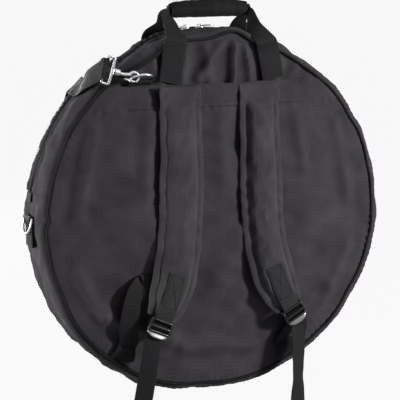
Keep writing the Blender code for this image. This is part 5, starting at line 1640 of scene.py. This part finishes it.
def make_tail(name, side):
    """Tail of webbing: over the lock's middle bar, down through its second slot and hanging, with a sway."""
    _, _, across, _, _ = along_strap(side, 1)
    into = MIDDLE_BAR_END + LOCK_SECOND_SLOT / 2
    tail = lock_places(
        side,
        (
            (MIDDLE_BAR_START + LOCK_MIDDLE_BAR / 2 + CLEARANCE, OVER_BAR),
            (MIDDLE_BAR_END - WEB * 0.3, OVER_BAR),
            (into - WEB * 0.2, OVER_BAR * 0.6),
            (into, 0),
            (into + WEB * 0.2, -OVER_BAR * 0.6),
            (LAST_BAR_START + WEB * 0.3, UNDER_BAR),
            (LOCK_END, UNDER_BAR),
            (LOCK_END + WEB * 4, UNDER_BAR),
        ),
    )
    drops = np.array([0.08, 0.16, 0.26, 0.38, 0.5, 0.62, 0.75, 0.88, 1.0])
    sway = 0.004 * np.sin(drops * 5.5 + side) * drops
    drift = TAIL_DRIFTS[side] * drops + sway * 0.6
    hung = np.stack((drift, sway - 0.002 * drops, -TAIL_LENGTH * drops), axis=1)
    turn = np.interp(drops, *np.transpose(TAIL_TURNS[side]))[:, None]
    turned = across * np.cos(turn) + np.array([0, -1.0, 0]) * np.sin(turn)
    acrosses = np.vstack(([across] * len(tail), turned))
    tail = np.vstack((tail, tail[-1] + hung))
    woven = {"step": 0.0025, "ripple": 0.0003, "seed": 92 + side, "count": 26}
    piece = band(f"strap_{name}_tail_webbing", tail, acrosses, *WEB_SIZE, WEBBING, **woven)
    dress(piece, f"{name}_lock", [f"strap_{name}_tail"])


def anchor_ends(side):
    """Foot and head of an anchor wing on the bottom seam, and the way across it."""
    angle = math.radians(180 - side * ANCHOR_ANGLES[side])
    foot_radius = POCKET_RADIUS - CLEARANCE
    radii = np.array([foot_radius - PIPING_RADIUS, foot_radius - ANCHOR_LENGTH])
    foot, head = round_at(radii, angle, -HALF_DEPTH - pocket_out(radii) - CLEARANCE - ANCHOR_WALL / 2)
    tangent = np.array([math.cos(angle), 0, -math.sin(angle)])
    tangent = -tangent if tangent[0] < 0 else tangent
    if side < 0:
        head = head + SLACK_HEAD_SHIFT
        tangent = unit(tangent + SLACK_HEAD_TURN)
    return foot, head, tangent


def make_anchor(name, side):
    """Anchor wing of the lower webbing: it narrows from the seam to the webbing and arches a little."""
    foot, head, tangent = anchor_ends(side)
    rise = np.linspace(0, 1, 5)[:, None]
    lift = np.array([0, -0.0035, 0])
    path = foot + (head - foot) * rise + lift * np.sin(rise * np.pi * 0.8)
    width = ANCHOR_WIDTH + (STRAP_WEBBING_WIDTH - ANCHOR_WIDTH) * rise[:, 0]
    woven = {"step": 0.0015, "ripple": 0.0008, "seed": 95, "count": 30}
    piece = band(f"strap_{name}_anchor_wing", path, tangent, width, ANCHOR_WALL, BINDING, **woven)
    dress(piece, "bag", [f"strap_{name}_anchor"])
    out_way = np.array([0, -1.0, 0])
    lines = []
    for share in (0.28, 0.5, 0.74):
        spot = foot + (head - foot) * share + out_way * (ANCHOR_WALL / 2 + 0.0036)
        half = (ANCHOR_WIDTH + (STRAP_WEBBING_WIDTH - ANCHOR_WIDTH) * share) / 2 - 0.003
        lines.append((np.array([spot - tangent * half, spot + tangent * half]), out_way))
    return lines


def make_lower_webbing(name, side):
    """Lower webbing: from the lock's middle bar up through its first slot and down behind it to the anchor.

    The left one is slack and swings out in a loop on the way.
    """
    end, _, across, _, _ = along_strap(side, 1)
    foot, head, tangent = anchor_ends(side)
    inward = unit(head - foot)
    into = MIDDLE_BAR_START - LOCK_FIRST_SLOT * 0.27
    lower = lock_places(
        side,
        (
            (MIDDLE_BAR_START + LOCK_MIDDLE_BAR / 2 - CLEARANCE, OVER_BAR),
            (MIDDLE_BAR_START + WEB * 0.3, OVER_BAR),
            (into + WEB * 0.2, OVER_BAR * 0.6),
            (into, 0),
            (into, -OVER_BAR),
        ),
    )
    begin = head + inward * (CLEARANCE + WEB) + (0, -WEB, 0)
    if side < 0:
        start = lower[-1]
        run = begin - start
        base_out = -HALF_DEPTH - begin[1]
        lower += lock_places(side, ((-WEB, -STRAP_WALL * 0.95),))
        for way, rise_share, out_share, left_share in SLACK_SHARES:
            x = start[0] + run[0] * way - STRAP_WEBBING_WIDTH * left_share
            y = -HALF_DEPTH - base_out - (STRAP_STAND - base_out) * out_share
            z = start[2] + run[2] * way * (1 - rise_share) + LOOP_RISE * rise_share
            lower.append(np.array([x, y, z]))
    else:
        lower += lock_places(side, ((MIDDLE_BAR_END, -OVER_BAR * 3), (LOCK_END, -OVER_BAR * 3.6)))
    lower += [begin + inward * WEB * 4 - (0, WEB, 0), begin, begin - inward * 0.008]
    acrosses = [across] * (len(lower) - 4) + [unit(across + tangent), tangent, tangent, tangent]
    if side < 0:
        slanted = unit(np.array([0.9, 0, 0.35]))
        acrosses[7:11] = [unit(across + slanted), slanted, slanted, unit(slanted + across)]
    acrosses = np.array(acrosses)
    woven = {"step": 0.0025, "ripple": 0.0004, "seed": 97, "count": 26}
    piece = band(f"strap_{name}_lower_webbing_cloth", lower, acrosses, *WEB_SIZE, WEBBING, **woven)
    dress(piece, ("bag", f"{name}_strap", begin, end), [f"strap_{name}_lower_webbing"])


def make_hook(prefix, short, eye, back, side, loop_turn=0):
    """A swivel snap hook: cast hook and shank in a ribbed barrel, a bolt gate and a bent strap loop."""
    normal = np.cross(back, side)
    matrix = Matrix.Translation(Vector(eye)) @ Matrix((back, side, normal)).transposed().to_4x4()
    radius = HOOK_EYE_RADIUS
    bend = np.radians(HOOK_EYE_START + HOOK_EYE_SWEEP * (1 - np.linspace(0, 1, 28)))
    hook = np.stack((radius * np.cos(bend), -radius * np.sin(bend), 0 * bend), axis=1)
    neck_x = HOOK_SHANK_LENGTH * 0.55 + radius * 0.2
    shank_end = radius + HOOK_SHANK_LENGTH - HOOK_BARREL_LENGTH
    root = hook[-1]
    neck = np.array([neck_x, -radius * 0.05, 0])
    points = np.vstack((hook, root + (neck - root) * 0.6, neck, (shank_end, 0, 0)))
    radii = np.concatenate((np.linspace(0.8, 1.05, 28), (1.2, 1.15, 1.25))) * HOOK_WIRE
    fine = resampled(np.hstack((points, radii[:, None])), 0.0006)
    parts = [tube("hook", moved(fine[:, :3], matrix), fine[:, 3], CHROME, normal, sides=20)]
    x = np.linspace(0, 1, 40)
    swell = 0.86 + 0.14 * np.sin(np.pi * x) ** 0.5 + 0.05 * np.sign(np.sin(x * 19)) * (x > 0.12) * (x < 0.9)
    collar = np.where(x < 0.1, 0.75 + x * 2, 1) * np.where(x > 0.92, 1 - (x - 0.92) * 3, 1)
    barrel = np.stack((shank_end + HOOK_BARREL_LENGTH * x, 0 * x, 0 * x), axis=1)
    radii = HOOK_BARREL_RADIUS * swell * collar
    parts.append(tube("barrel", moved(barrel, matrix), radii, CHROME, normal, sides=28, sharp=35))
    dress(joined(f"{prefix}_cast_body", parts), f"{short}_hook", [f"{prefix}_body"])

    corner = HOOK_LOOP_CORNER
    centre_x = shank_end + HOOK_BARREL_LENGTH + CLEARANCE + HOOK_WIRE + HOOK_LOOP_WIDTH / 2
    half_x, half_y = HOOK_LOOP_WIDTH / 2 - corner, HOOK_LOOP_LENGTH / 2 - corner
    turn = np.linspace(0, np.pi / 2, 7)
    loop = []
    for quarter, (sx, sy) in enumerate(((1, 1), (-1, 1), (-1, -1), (1, -1))):
        angle = turn + np.pi / 2 * quarter
        x, y = centre_x + sx * half_x + corner * np.cos(angle), sy * half_y + corner * np.sin(angle)
        loop.append(np.stack((x, y, 0 * angle), axis=1))
    turned = matrix @ Matrix.Rotation(math.radians(loop_turn), 4, "X")
    loop_up = np.array(turned.to_3x3() @ Vector((0, 0, 1)))
    path = moved(np.vstack(loop), turned)
    piece = tube(f"{prefix}_bent_loop", path, HOOK_WIRE, CHROME, loop_up, sides=18, closed=True)
    dress(piece, "bag", [f"{prefix}_loop"])

    tip = hook[0]
    gate_y = max(tip[1], HOOK_WIRE + GATE_RADIUS + 2 * CLEARANCE)
    start = tip[0] + HOOK_WIRE / 2 + 2 * CLEARANCE
    share, swell = np.array(GATE_SHARES).T
    path = np.stack((start + GATE_LENGTH * share, 0 * share + gate_y, 0 * share), axis=1)
    path, radii = moved(path, matrix), GATE_RADIUS * swell
    piece = tube(f"{prefix}_bolt_gate", path, radii, CHROME, normal, sides=18, sharp=35)
    dress(piece, f"{short}_gate", [f"{prefix}_gate"])
    return eye + back * (centre_x + HOOK_LOOP_WIDTH / 2)


def turn_back(bar, away, out, reach=SHOULDER_TURN_BACK):
    """A strap's end folded round a hook's bar in a half circle, from its loose end to where it leaves."""
    radius = HOOK_WIRE + CLEARANCE + SHOULDER_WALL / 2
    angle = np.linspace(np.pi / 6, 5 * np.pi / 6, 7)[:, None]
    return np.vstack(
        (
            bar + away * reach + out * (radius * -0.75),
            bar - out * radius,
            bar - out * radius * np.cos(angle) - away * radius * np.sin(angle),
            bar + out * radius,
            bar + away * reach + out * radius * 0.75,
        )
    )


def front_line(share):
    """Middle of the shoulder strap on the front at a share of its line."""
    ends = round_at(SEAM_RADIUS, np.radians([LEFT_CROSSING_ANGLE, RIGHT_CROSSING_ANGLE]), HALF_DEPTH)
    point = ends[0] + (ends[1] - ends[0]) * share
    over = 2 * (PIPING_RADIUS + CLEARANCE) if min(share, 1 - share) < PIPING_REACH_SHARE else 0
    first, last = POCKET_REACH_SHARES
    pocket = FRONT_POCKET_DEPTH + FRONT_POCKET_WALL if first < share < last else 0
    return point + (0, SHOULDER_WALL / 2 + 2 * CLEARANCE + max(over, pocket), 0)


# The shoulder strap's width, thickness, material, spacing of its rows and ripple
SHOULDER_BAND = (SHOULDER_WIDTH, SHOULDER_WALL, WEBBING, 0.003, 0.0003)


def front_run():
    """The shoulder strap's run down the front: its way, the way across, its length, and the fold's share."""
    first, last = front_line(0), front_line(1)
    line = unit(last - first)
    wide = np.array([line[2], 0, -line[0]])
    fold = (first[2] + GRIP_RISE - ZIP_END_HEIGHT) / (first[2] - last[2])
    return line, wide, float(np.linalg.norm(last - first)), fold


def make_left_end(bar, bow):
    """Strap from the hem ring's hook over the edge: turned back at the loop, twisted flat and widening."""
    along, outward = LEFT_EYE_SHARES
    eye = bar + (RING_ARM * along, 0, 0) + bow * (RING_REACH - RING_ARM + RING_ARM * outward)
    back = unit(np.array(LEFT_BACK_SHARES))
    side = unit(np.array([0, 0, -1.0]) + back * back[2])
    loop_bar = make_hook("snap_hook_left", "left", eye, back, side)
    depths, far, angles = np.array(EDGE_PLACES).T
    angles = np.radians(angles)
    edge_points = round_at(SIDE_RADIUS * far + EDGE_LIFT, angles, HALF_DEPTH * depths)
    leave = unit(edge_points[0] - loop_bar)
    out = unit(np.cross(side, leave))
    out = -out if out[0] > 0 else out
    path = turn_back(loop_bar, leave, out, LEFT_TURN_BACK)
    across = [side] * len(path)
    chords = np.stack((np.cos(angles), 0 * angles, -np.sin(angles)), axis=1)
    finish = front_line(FRONT_START_SHARE)
    path = np.vstack((path, edge_points, front_line(0.004) + (0.003, SHOULDER_WALL, 0), finish))
    _, wide, _, _ = front_run()
    twist = [unit(way) for way in LEFT_TWIST]
    across = np.array(across + twist + list(-chords[2:]) + [(wide - chords[-1]) / 2, wide])
    taper = np.linspace(HOOK_END_SHARE, 1, 8)
    widths = np.concatenate((np.full(len(path) - len(taper), HOOK_END_SHARE), taper)) * SHOULDER_WIDTH
    piece = band("shoulder_strap_over_edge_webbing", path, across, widths, *SHOULDER_BAND[1:], seed=101)
    dress(piece, ("bag", "lid", edge_points[-1], finish), ["shoulder_strap_over_edge"])


def make_front_runs():
    """Strap down the lid, and its fold over the lid's hinge line: both lie along the front's line."""
    _, wide, length, fold = front_run()
    clear, gap = FOLD_CLEARANCE / length, CLEARANCE / length
    ends = (fold + clear - gap, fold - clear + gap)
    hinge = ("bag", "lid", front_line(ends[0]), front_line(ends[1]))
    runs = (
        ("front", (FRONT_START_SHARE + gap, *FRONT_SHARES, fold - clear), "lid"),
        ("fold", np.linspace(ends[1], ends[0], 5), hinge),
    )
    for seed, (name, shares, dressing) in enumerate(runs, 102):
        flat = np.array([front_line(share) for share in shares])
        piece = band(f"shoulder_strap_{name}_webbing", flat, wide, *SHOULDER_BAND, seed=seed)
        dress(piece, dressing, [f"shoulder_strap_{name}"])


def make_right_end(bar, bow):
    """Strap from the right ring's hook over the piping and up the front to the fold, twisted on the way."""
    along, outward = RIGHT_EYE_SHARES
    eye = bar + (0, RING_ARM * along, 0) + bow * (RING_REACH - RING_ARM + RING_ARM * outward)
    back, side = unit(np.array(RIGHT_BACK_SHARES)), np.array(RIGHT_SIDE_SHARES)
    side = unit(side - back * (side @ back))
    loop_bar = make_hook("snap_hook_right", "right", eye, back, side, RIGHT_LOOP_TURN)
    turn = math.radians(RIGHT_LOOP_TURN)
    depth = side * math.cos(turn) + np.cross(back, side) * math.sin(turn)
    path = turn_back(loop_bar, back, np.cross(depth, back))
    across = [depth] * len(path)
    angle = math.radians(RIGHT_CROSSING_ANGLE)
    over = round_at(SIDE_RADIUS + SHOULDER_LIFT * 1.6, angle, HALF_DEPTH)
    piping = 2 * PIPING_RADIUS + 3 * SHOULDER_WALL
    _, wide, length, fold = front_run()
    path = np.vstack(
        (
            path,
            (path[-1] + over) / 2 + (SHOULDER_LIFT * 0.3, 0, 0),
            over,
            round_at(SIDE_RADIUS, angle, HALF_DEPTH + piping),
            front_line(FRONT_END_SHARE),
            [front_line(share) for share in (*LOWER_SHARES, fold + FOLD_CLEARANCE / length)],
        )
    )
    across += [*np.array(RIGHT_TWIST), (0, 0.25, 0) - wide]
    across += [-wide] * (len(path) - len(across))
    piece = band("shoulder_strap_lower_webbing", path, np.array(across), *SHOULDER_BAND, seed=104)
    dress(piece, "bag", ["shoulder_strap_lower"])


def make_adjuster():
    """Three-bar slide of glossy acetal on the shoulder strap: two rails and three bars across them."""
    line, wide, _, _ = front_run()
    out = np.cross(line, wide)
    matrix = Matrix((line, wide, out)).transposed().to_4x4()
    matrix = Matrix.Translation(Vector(front_line(ADJUSTER_SHARE))) @ matrix
    z = math.copysign(SHOULDER_WALL / 2 + 2 * CLEARANCE + ADJUSTER_WALL / 2, out[1])
    parts = []
    for sy in (-1, 1):
        place = matrix @ Matrix.Translation((0, sy * (ADJUSTER_WIDTH - ADJUSTER_RAIL) / 2, z))
        parts.append(rounded_block("rail", place, (ADJUSTER_LENGTH, ADJUSTER_RAIL, ADJUSTER_WALL), ACETAL))
    for x in (-1, 0, 1):
        place = matrix @ Matrix.Translation((x * (ADJUSTER_LENGTH - ADJUSTER_BAR) / 2, 0, z))
        parts.append(rounded_block("bar", place, (ADJUSTER_BAR, ADJUSTER_WIDTH, ADJUSTER_WALL), ACETAL))
    dress(joined("adjuster_acetal", parts), "lid", ["strap_adjuster"])


def make_stage():
    """A studio floor under the hanging bag, soft lights round it and a white background."""
    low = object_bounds()[0].z - FLOOR_DROP
    mesh = bpy.data.meshes.new("studio_floor")
    corners = [(FLOOR_HALF * sx, FLOOR_HALF * sy, low) for sx, sy in ((-1, -1), (1, -1), (1, 1), (-1, 1))]
    mesh.from_pydata(corners, [], [(0, 1, 2, 3)])
    floor = bpy.data.objects.new("studio_floor", mesh)
    bpy.context.scene.collection.objects.link(floor)
    material, tree, shader = start_material("studio_floor_paint")
    tuned(shader, Base_Color=linear("#9a9a9a"), Roughness=0.6)
    # Seen by the camera, most of the floor is the plain white of the background, and a faint shadow stays
    seen = add(tree, "ShaderNodeLightPath")
    share = add(tree, "ShaderNodeMath", {0: seen.outputs["Is Camera Ray"]}, operation="MULTIPLY")
    share.inputs[1].default_value = FLOOR_WHITE_SHARE
    white = add(tree, "ShaderNodeEmission", Color=(1, 1, 1, 1), Strength=1.0)
    sockets = {"Fac": share.outputs[0], 1: shader.outputs[0], 2: white.outputs[0]}
    mix = add(tree, "ShaderNodeMixShader", sockets)
    tree.links.new(mix.outputs[0], tree.nodes["Material Output"].inputs["Surface"])
    mesh.materials.append(material)

    for name, place, size, watts in SOFTBOXES:
        data = bpy.data.lights.new(name, "AREA")
        data.shape = "RECTANGLE"
        data.size, data.size_y = size
        data.energy = watts
        lamp = bpy.data.objects.new(name, data)
        lamp.location = place
        lamp.rotation_euler = (Vector(CENTRE) - Vector(place)).to_track_quat("-Z", "Y").to_euler()
        bpy.context.scene.collection.objects.link(lamp)
    make_world()


def make_world():
    """White as the camera and every glossy or clear surface sees it, a dim grey for the soft light."""
    world = bpy.data.worlds.new("studio_world")
    world.use_nodes = True
    tree = world.node_tree
    tree.nodes.clear()
    path = add(tree, "ShaderNodeLightPath")
    plain = add(tree, "ShaderNodeBackground", Color=(0.025, 0.025, 0.027, 1), Strength=1.0)
    white = add(tree, "ShaderNodeBackground", Color=(1, 1, 1, 1), Strength=1.0)
    shown = path.outputs["Is Camera Ray"]
    for kind in ("Is Glossy Ray", "Is Transmission Ray"):
        shown = add(tree, "ShaderNodeMath", {0: shown, 1: path.outputs[kind]}, operation="MAXIMUM").outputs[0]
    mix = add(tree, "ShaderNodeMixShader", {"Fac": shown, 1: plain.outputs[0], 2: white.outputs[0]})
    add(tree, "ShaderNodeOutputWorld", {"Surface": mix.outputs[0]})
    bpy.context.scene.world = world


def make_camera():
    """The photograph's view: from behind the bag, a little to its left and above."""
    azimuth, elevation = math.radians(CAMERA_AZIMUTH), math.radians(CAMERA_ELEVATION)
    level = math.cos(elevation)
    back = np.array([math.sin(azimuth) * level, -math.cos(azimuth) * level, math.sin(elevation)])
    right = np.array([math.cos(azimuth), math.sin(azimuth), 0])
    up = np.cross(back, right)
    centre = np.array([0, -HALF_DEPTH, -GRIP_RISE])
    data = bpy.data.cameras.new("photo_camera")
    data.lens = CAMERA_LENS
    data.sensor_width = 36
    aim = centre - right * CAMERA_SHIFT[0] + up * CAMERA_SHIFT[1]
    camera = bpy.data.objects.new("photo_camera", data)
    bpy.context.scene.collection.objects.link(camera)
    turned = Matrix((right, up, back)).transposed().to_4x4()
    camera.matrix_world = Matrix.Translation(Vector(aim + back * CAMERA_DISTANCE)) @ turned
    data.clip_start, data.clip_end = 0.1, 60
    bpy.context.scene.camera = camera


make_back_panel()
bag_lines = make_pocket()
make_piping("back_piping_cord", -1, None, None, "bag", ["back_piping"])
zip_end = math.radians(ZIP_END_ANGLE)
half_zip = zip_end - CLEARANCE / SIDE_RADIUS
back_edge, front_edge = ZIP_Y - ZIP_GAP / 2, ZIP_Y + ZIP_GAP / 2
under, over = (zip_end, 2 * np.pi - zip_end), (-half_zip, half_zip)
make_wall("gusset_base_cloth", -HALF_DEPTH, HALF_DEPTH, under, "bag", ["gusset_base"], 111)
bag_lines += make_wall(
    "gusset_back_cloth", -HALF_DEPTH, back_edge, over, "bag", ["gusset_back_strip"], 112, back_edge
)
lid_lines = make_wall(
    "gusset_front_cloth", front_edge, HALF_DEPTH, over, "lid", ["gusset_front_strip"], 113, front_edge
)
make_zip()
make_front()
make_dividers()
bag_lines += make_front_pocket()
bag_lines += make_handle("handle_back", False, "bag")
lid_lines += make_handle("handle_front", True, "lid")
bag_lines += make_grip()
ring_places, lines = make_rings()
bag_lines += lines
make_slider("left", LEFT_SLIDER_ANGLE, -1)
make_slider("right", RIGHT_SLIDER_ANGLE, 1)
for strap, side in (("left", -1), ("right", 1)):
    strap_lines = make_strap_pad(strap, side)
    make_lock(strap, side)
    patch_lines = make_patch(strap, side)
    make_tail(strap, side)
    bag_lines += make_anchor(strap, side)
    make_lower_webbing(strap, side)
    stitching(f"strap_{strap}_stitches", strap_lines, f"{strap}_strap")
    stitching(f"strap_{strap}_patch_stitches", patch_lines, f"{strap}_strap", BLACK_THREAD)
make_left_end(*ring_places["hem"])
make_front_runs()
make_right_end(*ring_places["right"])
make_adjuster()
stitching("bag_stitches", bag_lines, "bag")
stitching("lid_stitches", lid_lines, "lid")

make_camera()
make_stage()
scene = bpy.context.scene
scene.view_settings.view_transform = "Standard"
